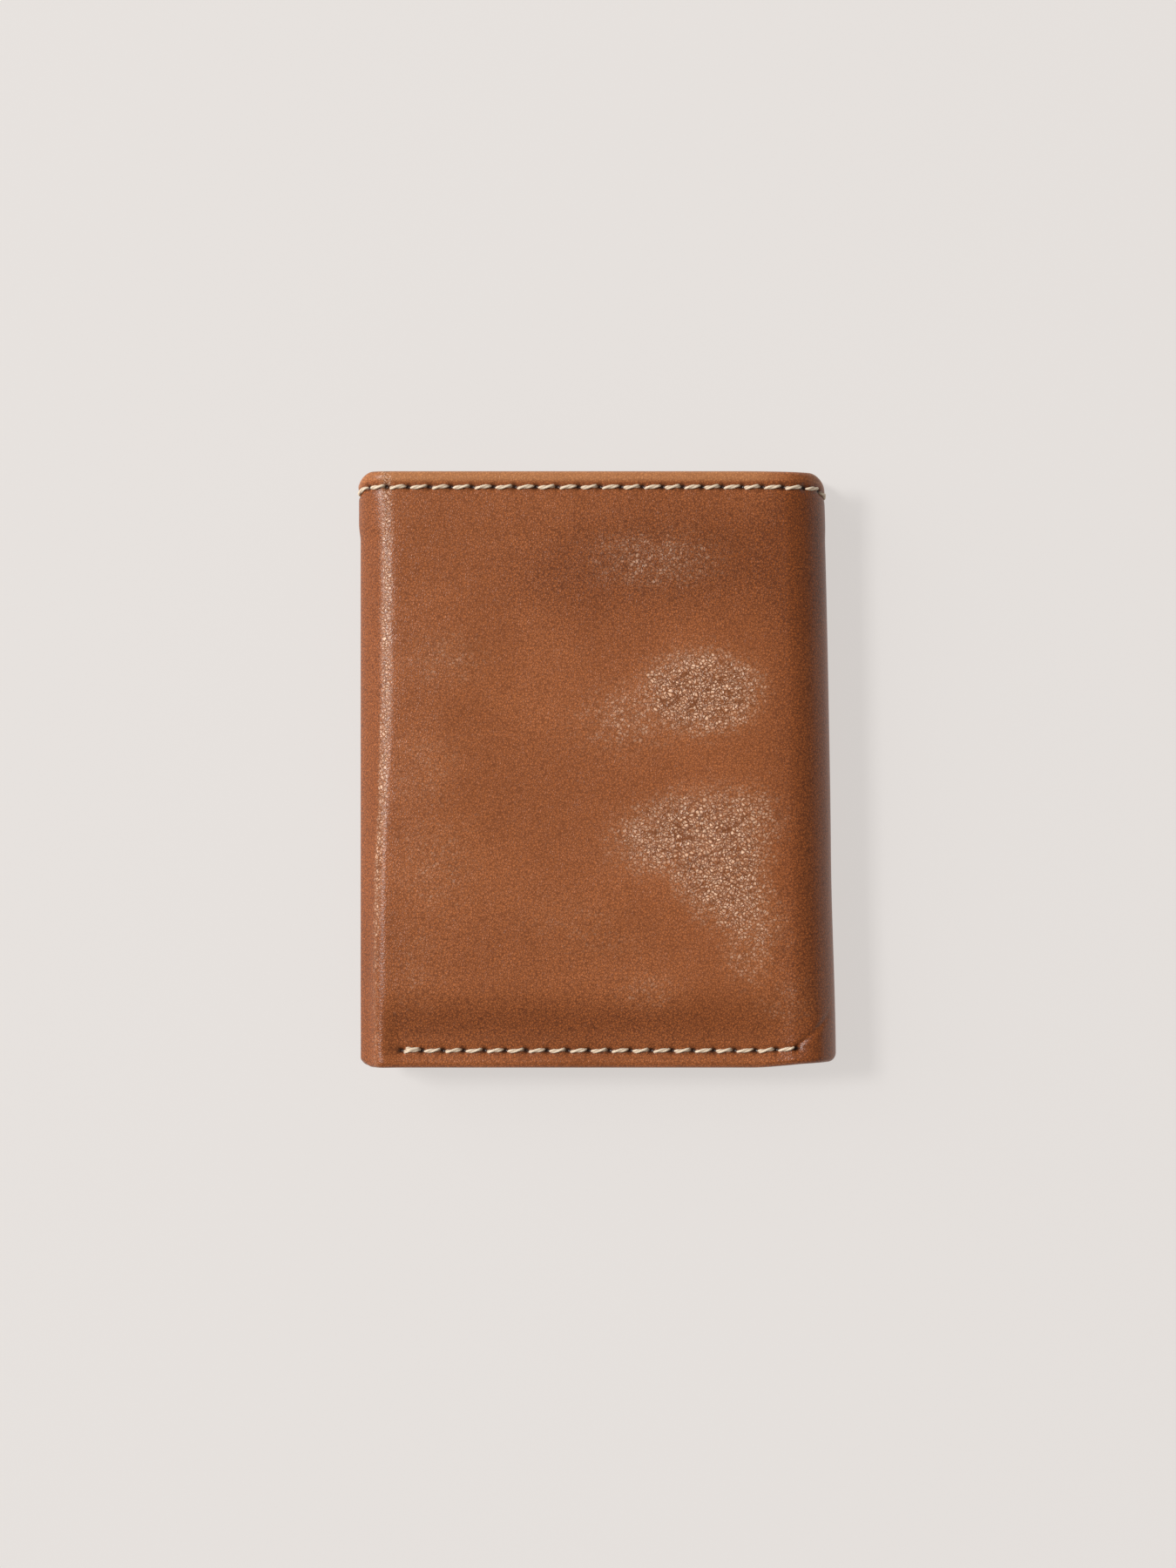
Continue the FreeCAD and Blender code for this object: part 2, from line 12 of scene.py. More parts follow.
import bpy
import numpy as np
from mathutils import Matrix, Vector


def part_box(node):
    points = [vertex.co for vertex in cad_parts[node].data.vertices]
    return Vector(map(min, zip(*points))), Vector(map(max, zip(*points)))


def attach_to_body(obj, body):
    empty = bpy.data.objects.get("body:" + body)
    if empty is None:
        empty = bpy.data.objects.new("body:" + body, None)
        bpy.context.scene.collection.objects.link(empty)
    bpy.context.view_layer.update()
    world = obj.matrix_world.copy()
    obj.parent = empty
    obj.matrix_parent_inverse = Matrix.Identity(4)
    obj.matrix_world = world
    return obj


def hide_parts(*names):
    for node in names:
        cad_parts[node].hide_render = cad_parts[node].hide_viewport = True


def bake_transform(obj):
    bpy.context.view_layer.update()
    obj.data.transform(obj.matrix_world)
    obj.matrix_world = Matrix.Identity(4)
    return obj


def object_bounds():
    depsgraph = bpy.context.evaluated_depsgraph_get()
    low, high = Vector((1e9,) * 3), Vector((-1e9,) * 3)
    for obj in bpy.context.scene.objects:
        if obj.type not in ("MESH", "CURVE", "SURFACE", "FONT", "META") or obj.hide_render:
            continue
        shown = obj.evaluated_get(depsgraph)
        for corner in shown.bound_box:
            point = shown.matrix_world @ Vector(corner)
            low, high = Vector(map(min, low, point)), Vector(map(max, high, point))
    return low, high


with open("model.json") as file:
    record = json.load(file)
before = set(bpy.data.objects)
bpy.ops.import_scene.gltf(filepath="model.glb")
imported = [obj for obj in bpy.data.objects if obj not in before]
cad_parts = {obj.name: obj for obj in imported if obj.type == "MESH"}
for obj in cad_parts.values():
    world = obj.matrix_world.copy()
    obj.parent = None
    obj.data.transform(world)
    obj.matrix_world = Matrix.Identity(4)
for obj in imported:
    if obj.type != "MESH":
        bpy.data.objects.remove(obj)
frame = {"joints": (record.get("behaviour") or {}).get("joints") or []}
CAD_BOX = [list(corner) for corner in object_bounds()]
MM = 0.001


def box_mm(node):
    """A CAD node's lowest and highest corners, in millimetres."""
    return [np.array(corner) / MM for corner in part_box(node)]


# ------------------------ the strip's path, from the frame

HINGES = {j["name"]: np.array(j["pos_m"]) / MM for j in frame["joints"]}
OUTER_HINGES = ["outer_fold_upper", "outer_fold_middle", "outer_fold_lower"]
INNER_HINGES = ["inner_fold_upper", "inner_fold_lower"]
TOP_Y = CAD_BOX[1][1] / MM
CENTER_Z = CAD_BOX[1][2] / MM


def fold_circle(hinges, side):
    """Centre x, centre z and outside radius of a fold, from hinge lines set evenly round it."""
    first, second = HINGES[hinges[0]], HINGES[hinges[1]]
    turn = math.pi / len(hinges)
    chord = np.linalg.norm(first - second)
    reach = chord / 2 / math.sin(turn / 2)
    x = first[0] - side * reach * math.sin(turn / 2)
    z = np.mean([HINGES[name][2] for name in hinges])
    return x, z, chord / turn


OUTER_FOLD_X, OUTER_FOLD_Z, OUTER_FOLD_R = fold_circle(OUTER_HINGES, 1)
INNER_FOLD_X, INNER_FOLD_Z, INNER_FOLD_R = fold_circle(INNER_HINGES, -1)
OUTER_EDGE_X = box_mm("outer_flap_shell")[0][0]
INNER_EDGE_X = box_mm("inner_flap_shell")[1][0]
INNER_FLAP_Z = INNER_FOLD_Z - INNER_FOLD_R

RUN_LENGTHS = [
    INNER_EDGE_X - INNER_FOLD_X,
    math.pi * INNER_FOLD_R,
    OUTER_FOLD_X - INNER_FOLD_X,
    math.pi * OUTER_FOLD_R,
    OUTER_FOLD_X - OUTER_EDGE_X,
]
U_INNER_FOLD, U_CENTER, U_OUTER_FOLD, U_OUTER_FLAP, U_END = np.cumsum(RUN_LENGTHS)


def path(u):
    """Place and inward normal of the outside face at u, as x, z, inward x, inward z."""
    u = np.asarray(u, float)
    runs = [u < end for end in (U_INNER_FOLD, U_CENTER, U_OUTER_FOLD, U_OUTER_FLAP)]
    inner = -math.pi / 2 - (u - U_INNER_FOLD) / INNER_FOLD_R
    outer = math.pi / 2 - (u - U_OUTER_FOLD) / OUTER_FOLD_R

    def by_run(*values):
        *values, last = (value + np.zeros_like(u) for value in values)
        return np.select(runs, values, last)

    x = by_run(
        INNER_EDGE_X - u,
        INNER_FOLD_X + INNER_FOLD_R * np.cos(inner),
        INNER_FOLD_X + u - U_CENTER,
        OUTER_FOLD_X + OUTER_FOLD_R * np.cos(outer),
        OUTER_FOLD_X + U_OUTER_FLAP - u,
    )
    z = by_run(
        INNER_FLAP_Z,
        INNER_FOLD_Z + INNER_FOLD_R * np.sin(inner),
        CENTER_Z,
        OUTER_FOLD_Z + OUTER_FOLD_R * np.sin(outer),
        0,
    )
    inward_x = by_run(0, -np.cos(inner), 0, -np.cos(outer), 0)
    inward_z = by_run(1, -np.sin(inner), -1, -np.sin(outer), 1)
    return x, z, inward_x, inward_z


def center_u(x):
    """The u of a point on the centre panel, from its x."""
    return U_CENTER + x - INNER_FOLD_X


# ------------------------ stitching, as in the CAD

STITCH_PITCH = 3.84
STITCH_INSET = 2.65
# How much further in than the CAD's the two rows lie, as in the photo.
TOP_ROW_SHIFT = 0.25
BOTTOM_ROW_SHIFT = 0.50
TOP_ROW_V = TOP_Y - STITCH_INSET - TOP_ROW_SHIFT
BOTTOM_ROW_V = -TOP_Y + STITCH_INSET + BOTTOM_ROW_SHIFT
BOTTOM_ROW_X = (-35.4, 36.3)
STRIP_GAP = 0.3


def spaced(start, end):
    """Evenly spaced stitch centres between two places."""
    count = max(1, round(abs(end - start) / STITCH_PITCH))
    pitch = (end - start) / count
    return start + (np.arange(count) + 0.5) * pitch


def fold_cuts(start, length, hinges):
    """The u of each hinge line of a fold."""
    return [start + (i + 0.5) * length / len(hinges) for i in range(len(hinges))]


INNER_CUTS = fold_cuts(U_INNER_FOLD, RUN_LENGTHS[1], INNER_HINGES)
OUTER_CUTS = fold_cuts(U_OUTER_FOLD, RUN_LENGTHS[3], OUTER_HINGES)
INNER_SEAM = sum(INNER_CUTS) / 2
OUTER_SEAMS = (sum(OUTER_CUTS[:2]) / 2, sum(OUTER_CUTS[1:]) / 2)
ROW_ENDS = [2 * STITCH_INSET, *INNER_CUTS, *OUTER_CUTS, U_END - 2 * STITCH_INSET]
ROW_GAPS = [0, *[STRIP_GAP / 2] * (len(ROW_ENDS) - 2), 0]
TOP_CENTRES = np.concatenate(
    [
        spaced(start + gap, end - next_gap)
        for start, end, gap, next_gap in zip(ROW_ENDS, ROW_ENDS[1:], ROW_GAPS, ROW_GAPS[1:])
    ]
)
BOTTOM_CENTRES = spaced(*(center_u(x) for x in BOTTOM_ROW_X))


def holes_of(centres):
    """Needle holes: one between each two stitches, and one at each end of the row."""
    middle = (centres[1:] + centres[:-1]) / 2
    return np.concatenate([[2 * centres[0] - middle[0]], middle, [2 * centres[-1] - middle[-1]]])


TOP_HOLES = holes_of(TOP_CENTRES)
BOTTOM_HOLES = holes_of(BOTTOM_CENTRES)


# ------------------------ shape of the leather

TOP_HEM = 10.5
BOTTOM_HEM = 8.0
SIDE_HEM = 7.0
# The relief of the outside face fades to nothing at this depth.
STACK_DEPTH = 5.2
# Corner radii, and how far the edges draw in before the outer fold: (top, bottom).
RIGHT_CORNERS = (2.6, 0.8)
LEFT_CORNERS = (1.9, 0.9)
RIGHT_DROOP = (0.15, 0.85)
CORNER_REACH = 8
# The outer fold leans inward towards the top and bulges a little towards the bottom.
FOLD_SKEW = 1.6
FOLD_FLARE = 0.70
# The firm bend beside the centre panel.
SHOULDER_DENT = 0.95
SHOULDER_SOFT = 1.0
SHOULDER_START = 0.7
SHOULDER_SHIFT = 2.3
# Needle holes and the furrows that the rows are pressed into, with depths as (top, bottom).
HOLE_LENGTH = 0.55
HOLE_WIDTH = 0.6
HOLE_DEPTHS = (0.42, 0.45)
FURROW_DEPTHS = (0.20, 0.22)
FOOT_DEPTH = 1.15
TABLE_SIDE_DENT = 0.30


def ease(x, start, end):
    """0 before start, 1 after end, smooth between."""
    t = np.clip((np.asarray(x, float) - start) / (end - start), 0, 1)
    return t * t * (3 - 2 * t)


def bell(x, width):
    return np.exp(-((np.asarray(x, float) / width) ** 2))


def nearest(u, places):
    """Distance from each u to the nearest of some places in rising order."""
    i = np.clip(np.searchsorted(places, u), 1, len(places) - 1)
    return np.minimum(np.abs(u - places[i - 1]), np.abs(u - places[i]))


# Soft rises and hollows of the centre panel, where cards and folds press from inside:
# (x, y, height, width, length, turn in degrees).
SWELLS = [
    (18, 15, 0.30, 12, 9, 0),
    (12, 38, 0.16, 12, 7, 0),
    (22, -16, 0.38, 17, 10, 30),
    (27, -32, 0.20, 8, 10, 0),
    (-27, 18, 0.18, 7, 10, 0),
    (-29, -8, 0.22, 7, 14, 0),
    (-8, 2, -0.20, 14, 26, 0),
    (4, -34, -0.20, 16, 8, 30),
]

# Where use has opened up the grain and painted sheen lies on it: (x, y, width, length, turn in
# degrees, how much).
RUBBED_AND_SHEEN = [
    (19, 14, 12.5, 8.5, 0, 1.0),
    (7, 10, 15, 9, 10, 0.40),
    (11, 38, 17, 7.5, 0, 0.38),
    (18, -11, 17, 8.5, 10, 0.85),
    (24, -15, 9, 11, 0, 0.80),
    (21, -19, 18, 8, -46, 0.80),
    (27.5, -30, 6.5, 12, 0, 0.46),
    (-27, 20, 11, 7, 0, 0.30),
    (-31, 0, 9, 12, 0, 0.26),
    (-29, -17, 11, 14, 0, 0.29),
    (-33, -35, 7, 16, 0, 0.24),
    (-2, -29, 18, 8, -20, 0.22),
    (9, -40, 8, 5, 0, 0.30),
    (34, -42, 8, 7, 0, 0.27),
]


def center_x(u):
    """The x of a point on the centre panel, from its u."""
    return u - U_CENTER + INNER_FOLD_X


def turned(x, y, turn):
    c, s = math.cos(math.radians(turn)), math.sin(math.radians(turn))
    return x * c + y * s, y * c - x * s


def swell(u, v):
    """Height of the rises and hollows of the centre panel."""
    height = np.zeros(np.broadcast(u, v).shape)
    for x, y, rise, width, length, turn in SWELLS:
        along, across = turned(center_x(u) - x, v - y, turn)
        height = height + rise * bell(along, width) * bell(across, length)
    return height


def on_table(u):
    """1 on the outer flap, whose outside face lies on the table."""
    return ease(u, U_OUTER_FLAP - 0.3 * RUN_LENGTHS[3], U_OUTER_FLAP)


def bottom_row_share(u):
    """1 where the bottom edge is sewn down on the centre panel, 0 past the row's ends."""
    return ease(u, BOTTOM_HOLES[0] - 5, BOTTOM_HOLES[0]) * (
        1 - ease(u, BOTTOM_HOLES[-1], BOTTOM_HOLES[-1] + 5)
    )


def bend_u(v):
    """The u of the firm bend between the inner fold and the centre panel."""
    return U_CENTER + SHOULDER_START - SHOULDER_SHIFT * ease(-v, -20, 42)


def shoulder(u, v):
    """Where the inner fold is pressed flatter, which leaves a firm bend beside the centre panel."""
    start = bend_u(v)
    past = (start - u + np.sqrt((start - u) ** 2 + SHOULDER_SOFT**2)) / 2
    return np.sin(math.pi * np.minimum(past / (start - INNER_SEAM), 1))


def relief(u, v):
    """How far the outside face stands proud of a plain strip, in millimetres."""
    u, v = np.asarray(u, float), np.asarray(v, float)
    sewn = bottom_row_share(u)
    on_inner_fold = ease(-u, -U_CENTER, -U_INNER_FOLD - 6)
    on_outer_fold = ease(u, U_OUTER_FOLD - 3, U_OUTER_FOLD + 5)
    from_top_row, from_bottom_row = v - TOP_ROW_V, v - BOTTOM_ROW_V

    # Along the top: the raised hem, the row in its furrow, and the full edge.
    hem = ease(v, TOP_Y - TOP_HEM - 2.0, TOP_Y - TOP_HEM + 1.2)
    hole = bell(nearest(u, TOP_HOLES), HOLE_LENGTH) * bell(from_top_row, HOLE_WIDTH)
    height = (0.10 + 0.22 * on_inner_fold) * hem
    height = height - FURROW_DEPTHS[0] * bell(from_top_row, 0.8) - HOLE_DEPTHS[0] * hole
    height = height + 0.10 * bell(v - TOP_Y + 1.2, 0.8)

    # Along the bottom: the fold's flare, the pressed foot, the row and the full edge.
    height = height + FOLD_FLARE * on_outer_fold * ease(-v, 15, TOP_Y)
    pressed = 0.25 * (1 - on_inner_fold - on_outer_fold) + 0.75 * sewn
    height = height - FOOT_DEPTH * ease(-v, TOP_Y - 15, TOP_Y - 4.2) * pressed
    hole = bell(nearest(u, BOTTOM_HOLES), HOLE_LENGTH) * bell(from_bottom_row, HOLE_WIDTH)
    furrow = FURROW_DEPTHS[1] * bell(from_bottom_row, 0.9) + HOLE_DEPTHS[1] * hole
    height = height + (0.26 * bell(v + TOP_Y - 1.1, 0.8) - furrow) * sewn

    # On the centre panel: swells, the crease past the last stitch, and the firm bend.
    height = height + swell(u, v)
    past = u - BOTTOM_HOLES[-1]
    crease = bell(from_bottom_row - 0.3 - 0.95 * past, 0.8)
    height = height - 0.30 * crease * ease(past, -1, 0.5) * (1 - ease(past, 3, 8))
    height = height - SHOULDER_DENT * shoulder(u, v) * (1 - 0.75 * ease(v, 40, TOP_Y))

    # On the table only the rows are sunk, so that no thread goes below the table top.
    flat = on_table(u)
    from_side_row = u - U_END + STITCH_INSET
    sunk = bell(from_top_row, 1.0) + bell(from_bottom_row, 1.0) + bell(from_side_row, 1.0)
    return height * (1 - flat) - TABLE_SIDE_DENT * flat * (np.minimum(sunk, 1.0) + 0.2)


def corner_pull(x, v):
    """How far the top and bottom edges draw in towards a fold, where the corners are rounded."""
    pull = np.where(v > 0, *RIGHT_DROOP) * ease(x, 28, 41)
    for radii, reach in (
        (RIGHT_CORNERS, x - OUTER_FOLD_X - OUTER_FOLD_R),
        (LEFT_CORNERS, INNER_FOLD_X - INNER_FOLD_R - x),
    ):
        radius = np.where(v > 0, *radii)
        share = np.clip((reach + radius) / radius, 0, 0.985)
        pull = pull + radius * (1 - np.sqrt(1 - share**2))
    return pull


def surface(u, v, d):
    """Points in metres at (u, v, d), with the wallet's relief, rounded corners and skewed fold."""
    u, v, d = np.broadcast_arrays(*(np.asarray(a, float) for a in (u, v, d)))
    x, z, inward_x, inward_z = path(u)
    depth = d - relief(u, v) * np.clip(1 - d / STACK_DEPTH, 0, 1)
    y = v - np.sign(v) * corner_pull(x, v) * ease(np.abs(v), TOP_Y - CORNER_REACH, TOP_Y)
    skew = FOLD_SKEW * ((v / TOP_Y + 1) / 2) ** 2 * ease(x, 5, OUTER_FOLD_X) * (u > U_CENTER)
    return np.stack([x + inward_x * depth - skew, y, z + inward_z * depth], -1) * MM


# ------------------------ mesh building


def unit(vectors):
    return vectors / np.maximum(np.linalg.norm(vectors, axis=-1, keepdims=True), 1e-12)


def grid_faces(rows, cols, closed=False):
    """Faces between rows of points that join up round, with the last row joined on if closed."""
    i, k = np.meshgrid(np.arange(rows if closed else rows - 1), np.arange(cols), indexing="ij")
    i_next, k_next = (i + 1) % rows, (k + 1) % cols
    corners = [i * cols + k, i * cols + k_next, i_next * cols + k_next, i_next * cols + k]
    return np.stack(corners, -1).reshape(-1, 4)


# How far apart the surface is sampled for its slope.
SLOPE_STEP = 0.05


def swept(name, us, loop_of, capped):
    """A closed cross-section swept along u. loop_of(u) gives the (v, d) loop at each u.

    capped says whether the first and the last section are closed with a face.
    """
    vs, ds = (np.array(a) for a in zip(*(loop_of(u) for u in us)))
    uu = np.repeat(np.asarray(us)[:, None], vs.shape[1], 1)
    points = surface(uu, vs, ds)
    along = surface(uu + SLOPE_STEP, vs, ds) - surface(uu - SLOPE_STEP, vs, ds)
    around = np.roll(points, -1, 1) - np.roll(points, 1, 1)
    normals = unit(np.cross(around, along))
    rows, cols = vs.shape
    faces = grid_faces(rows, cols).tolist()
    if capped[0]:
        faces.append(list(range(cols))[::-1])
    if capped[1]:
        faces.append([(rows - 1) * cols + c for c in range(cols)])
    return make_mesh(name, points, faces, normals, np.stack([uu, vs, ds], -1))


def add_object(name, data):
    """A new object in the scene."""
    made = bpy.data.objects.new(name, data)
    bpy.context.scene.collection.objects.link(made)
    return made


def make_mesh(name, points, faces, normals=None, rest=None):
    """An object from arrays. rest, in millimetres, becomes the texture place of each point."""
    mesh = bpy.data.meshes.new(name)
    mesh.from_pydata(points.reshape(-1, 3).tolist(), [], faces)
    mesh.polygons.foreach_set("use_smooth", [True] * len(mesh.polygons))
    if normals is not None:
        mesh.normals_split_custom_set_from_vertices(normals.reshape(-1, 3).tolist())
    made = add_object(name, mesh)
    if rest is not None:
        rest = rest.reshape(-1, 3)
        set_values(made, "rest", rest * MM)
        set_values(made, "hole_shade", hole_shade_at(rest))
        set_values(made, "wear_and_sheen", wear_and_sheen_at(rest))
        set_values(made, "patina_and_shade", patina_and_shade_at(rest))
    return made


def set_values(piece, name, values):
    """Stores a number or a vector per point of a piece, for its material."""
    vectors = values.ndim == 2 and values.shape[1] == 3
    kind, key = ("FLOAT_VECTOR", "vector") if vectors else ("FLOAT", "value")
    attribute = piece.data.attributes.new(name, kind, "POINT")
    attribute.data.foreach_set(key, values.astype(np.float32).ravel())


# Thickness of the shell leather, and how dark and deep the painted shade in the rows' needle holes
# and furrows is.
LEATHER = 1.0
HOLE_SHADE_STRENGTH = 1.3
FURROW_SHADE_STRENGTH = 0.22
HOLE_SHADE_REACH = 0.9


def hole_shade_at(rest):
    """How much painted shade darkens the leather at a place: in the needle holes and along the
    thread.
    """
    u, v, d = rest.T
    sewn = bottom_row_share(u)
    hole_shade = np.zeros(len(u))
    for row_v, holes, width, share in (
        (TOP_ROW_V, TOP_HOLES, 0.40, 1),
        (BOTTOM_ROW_V, BOTTOM_HOLES, 0.42, sewn),
    ):
        hole = HOLE_SHADE_STRENGTH * bell(nearest(u, holes), 0.52) * bell(v - row_v, width)
        hole_shade = hole_shade + (hole + FURROW_SHADE_STRENGTH * bell(v - row_v, 0.6)) * share
    return np.clip(hole_shade, 0, 1) * (d < HOLE_SHADE_REACH)


def wear_and_sheen_at(rest):
    """How much use has opened up the grain at a place, and how much painted sheen it has, from 0 to
    1.
    """
    u, v, _ = rest.T
    # A painted highlight along the firm bend beside the centre panel, as paler pebbles.
    most = 0.62 * bell(u - bend_u(v) + 0.8, 1.3) * (1 - 0.5 * ease(-v, 15, 45))
    for x, y, width, length, turn, much in RUBBED_AND_SHEEN:
        along, across = turned(center_x(u) - x, v - y, turn)
        from_middle = np.hypot(along / width, across / length)
        most = np.maximum(most, much * (1 - ease(from_middle, 0.1, 1.5)))
    return most


def patina_and_shade_at(rest):
    """How dark and red the leather is, as patina mixed with painted shade: up to 1 by the outer
    fold and the seam, below 0 if paler.
    """
    u, v, d = rest.T
    x = center_x(u)
    # Patina mixed with painted shade by the outer fold, along the seam's slope and in broad bands
    # below the top.
    fold = 0.75 * ease(x, 29, 38) * (1 - 0.5 * ease(x, 39.5, 42))
    fold = fold * (1 - ease(u, U_END - 60, U_END - 40))
    seam = 0.70 * bell(v + 46, 4.5) * bottom_row_share(u) * (1 - 0.35 * ease(x, 12, 30))
    head = 0.30 * bell(v - 44, 7) * ease(x, -8, 10) + 0.75 * bell(v - 36, 9) * ease(x, -25, -2)
    foot = 0.14 * bell(v + 34, 8) * ease(-x, -16, -4)
    inner_fold = 0.46 * ease(u, U_INNER_FOLD, U_CENTER - 8) * (1 - ease(u, U_CENTER - 2, U_CENTER))
    top_edge = 0.95 * ease(v, TOP_ROW_V + 0.5, TOP_ROW_V + 1.5)
    bottom_edge = 0.05 * ease(-v, -BOTTOM_ROW_V + 0.6, TOP_Y)
    patina_and_shade = np.maximum(fold, seam) + head + foot + inner_fold - top_edge - bottom_edge
    return np.clip(patina_and_shade, -1, 1) * (d < LEATHER)


def stations(start, end, step):
    """Places from start to end, at most a step apart."""
    return np.linspace(start, end, max(2, math.ceil((end - start) / step) + 1))


ARC_POINTS = 5


def quarter(centre_v, centre_d, radius, start_deg, end_deg):
    """Points of an arc in (v, d); 0 degrees is towards +v and 90 towards the outside."""
    angles = np.radians(np.linspace(start_deg, end_deg, ARC_POINTS))
    return centre_v + radius * np.cos(angles), centre_d - radius * np.sin(angles)


# ------------------------ shell leather

EDGE_R = 0.9
TOP_FOLDED = 1.7
SEAM_FOLDED = 2.0
INNER_R = 0.55
FREE_CORNER = 3.5
HALF_FACE_V = np.concatenate(
    [
        np.linspace(0, TOP_Y - 14, 50)[:-1],
        np.linspace(TOP_Y - 14, TOP_Y - 5, 19)[:-1],
        np.linspace(TOP_Y - 5, TOP_Y - EDGE_R, 22),
    ]
)
FACE_V = np.concatenate([-HALF_FACE_V[:0:-1], HALF_FACE_V])


def shell_loop(hem_share):
    """Cross-section of the shell. hem_share is 1 where a side hem doubles the leather inside."""
    middle = LEATHER + (SEAM_FOLDED - LEATHER) * hem_share
    top_v, low_v = TOP_Y - TOP_HEM, -TOP_Y + BOTTOM_HEM
    pieces = [
        (FACE_V, np.zeros_like(FACE_V)),
        quarter(TOP_Y - EDGE_R, EDGE_R, EDGE_R, 75, 0),
        quarter(TOP_Y - INNER_R, TOP_FOLDED - INNER_R, INNER_R, 0, -90),
        (np.array([top_v + 6, top_v + 2, top_v + 0.15]), np.full(3, TOP_FOLDED)),
        (np.array([top_v, top_v - 4]), np.array([middle, middle])),
        (np.linspace(top_v - 8, low_v + 4, 16), np.full(16, middle)),
        (np.array([low_v, low_v - 0.15]), np.array([middle, SEAM_FOLDED])),
        (np.array([low_v - 3, -TOP_Y + 2]), np.full(2, SEAM_FOLDED)),
        quarter(-TOP_Y + INNER_R, SEAM_FOLDED - INNER_R, INNER_R, -90, -180),
        quarter(-TOP_Y + EDGE_R, EDGE_R, EDGE_R, 180, 105),
    ]
    return tuple(np.concatenate(part) for part in zip(*pieces))


def rounded_end(v, d, inset, corner, thickness):
    """A cross-section drawn in towards a free edge, which is inset away from this section."""
    edge = thickness / 2
    if inset < edge:
        squeeze = math.sqrt(max(edge**2 - (edge - inset) ** 2, 0)) / edge
        d = edge + (d - edge) * (0.12 + 0.88 * squeeze)
    if inset < corner:
        pull = corner - math.sqrt(corner**2 - (corner - inset) ** 2)
        v = v * (1 - pull / TOP_Y)
    return v, d


def flap_shell_loop(u):
    inset = min(u, U_END - u)
    v, d = shell_loop(float(1 - ease(inset, SIDE_HEM, SIDE_HEM + 0.3)))
    return rounded_end(v, d, inset, FREE_CORNER, SEAM_FOLDED)


EDGE_STEPS = np.array([0.0, 0.1, 0.25, 0.5, 0.9, 1.4, 2.0, 2.7, 3.5])

# Each segment of the strip: name, where it starts and ends, and the bodies it joins.
SEGMENTS = [
    ("inner_flap", 0.0, U_INNER_FOLD, ["inner_flap"]),
    ("inner_fold_lower", U_INNER_FOLD, INNER_SEAM, ["inner_flap", "inner_spine"]),
    ("inner_fold_upper", INNER_SEAM, U_CENTER, ["inner_spine", "center_panel"]),
    ("center_panel", U_CENTER, U_OUTER_FOLD, ["center_panel"]),
    ("outer_fold_upper", U_OUTER_FOLD, OUTER_SEAMS[0], ["center_panel", "outer_spine_upper"]),
    ("outer_fold_middle", *OUTER_SEAMS, ["outer_spine_upper", "outer_spine_lower"]),
    ("outer_fold_lower", OUTER_SEAMS[1], U_OUTER_FLAP, ["outer_spine_lower", "outer_flap"]),
    ("outer_flap", U_OUTER_FLAP, U_END, ["outer_flap"]),
]
STANDS_FOR = {
    "inner_flap": "inner_flap",
    "inner_fold_upper": "inner_spine",
    "center_panel": "center_panel",
    "outer_fold_upper": "outer_spine_upper",
    "outer_fold_lower": "outer_spine_lower",
    "outer_flap": "outer_flap",
}


def attach(piece, segment):
    """Rides a piece on its segment's body, or bakes its transform where the segment joins two
    bodies.
    """
    _, start, end, bodies = segment
    if len(bodies) == 1:
        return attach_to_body(piece, bodies[0])
    for u in (start, end):
        x, z, inward_x, inward_z = path(u)
    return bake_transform(piece)


def strip_layer(ending, loop_of, step, slot, span=None):
    """One layer of the strip, as a piece per segment, over a span of u."""
    first, last = span or (0.0, U_END)
    for segment in SEGMENTS:
        name, start, end, _ = segment
        start, end = max(start, first), min(end, last)
        us = stations(start, end, step)
        capped = (start == first, end == last)
        if capped[0]:
            us = np.concatenate([first + EDGE_STEPS, us[us > first + EDGE_STEPS[-1] + 0.1]])
        if capped[1]:
            us = np.concatenate([us[us < last - EDGE_STEPS[-1] - 0.1], last - EDGE_STEPS[::-1]])
        piece = swept(f"{name}.{ending}", us, loop_of, capped)
        dress(piece, slot, f"{STANDS_FOR[name]}_{ending}" if name in STANDS_FOR else None)
        attach(piece, segment)


# ------------------------ materials


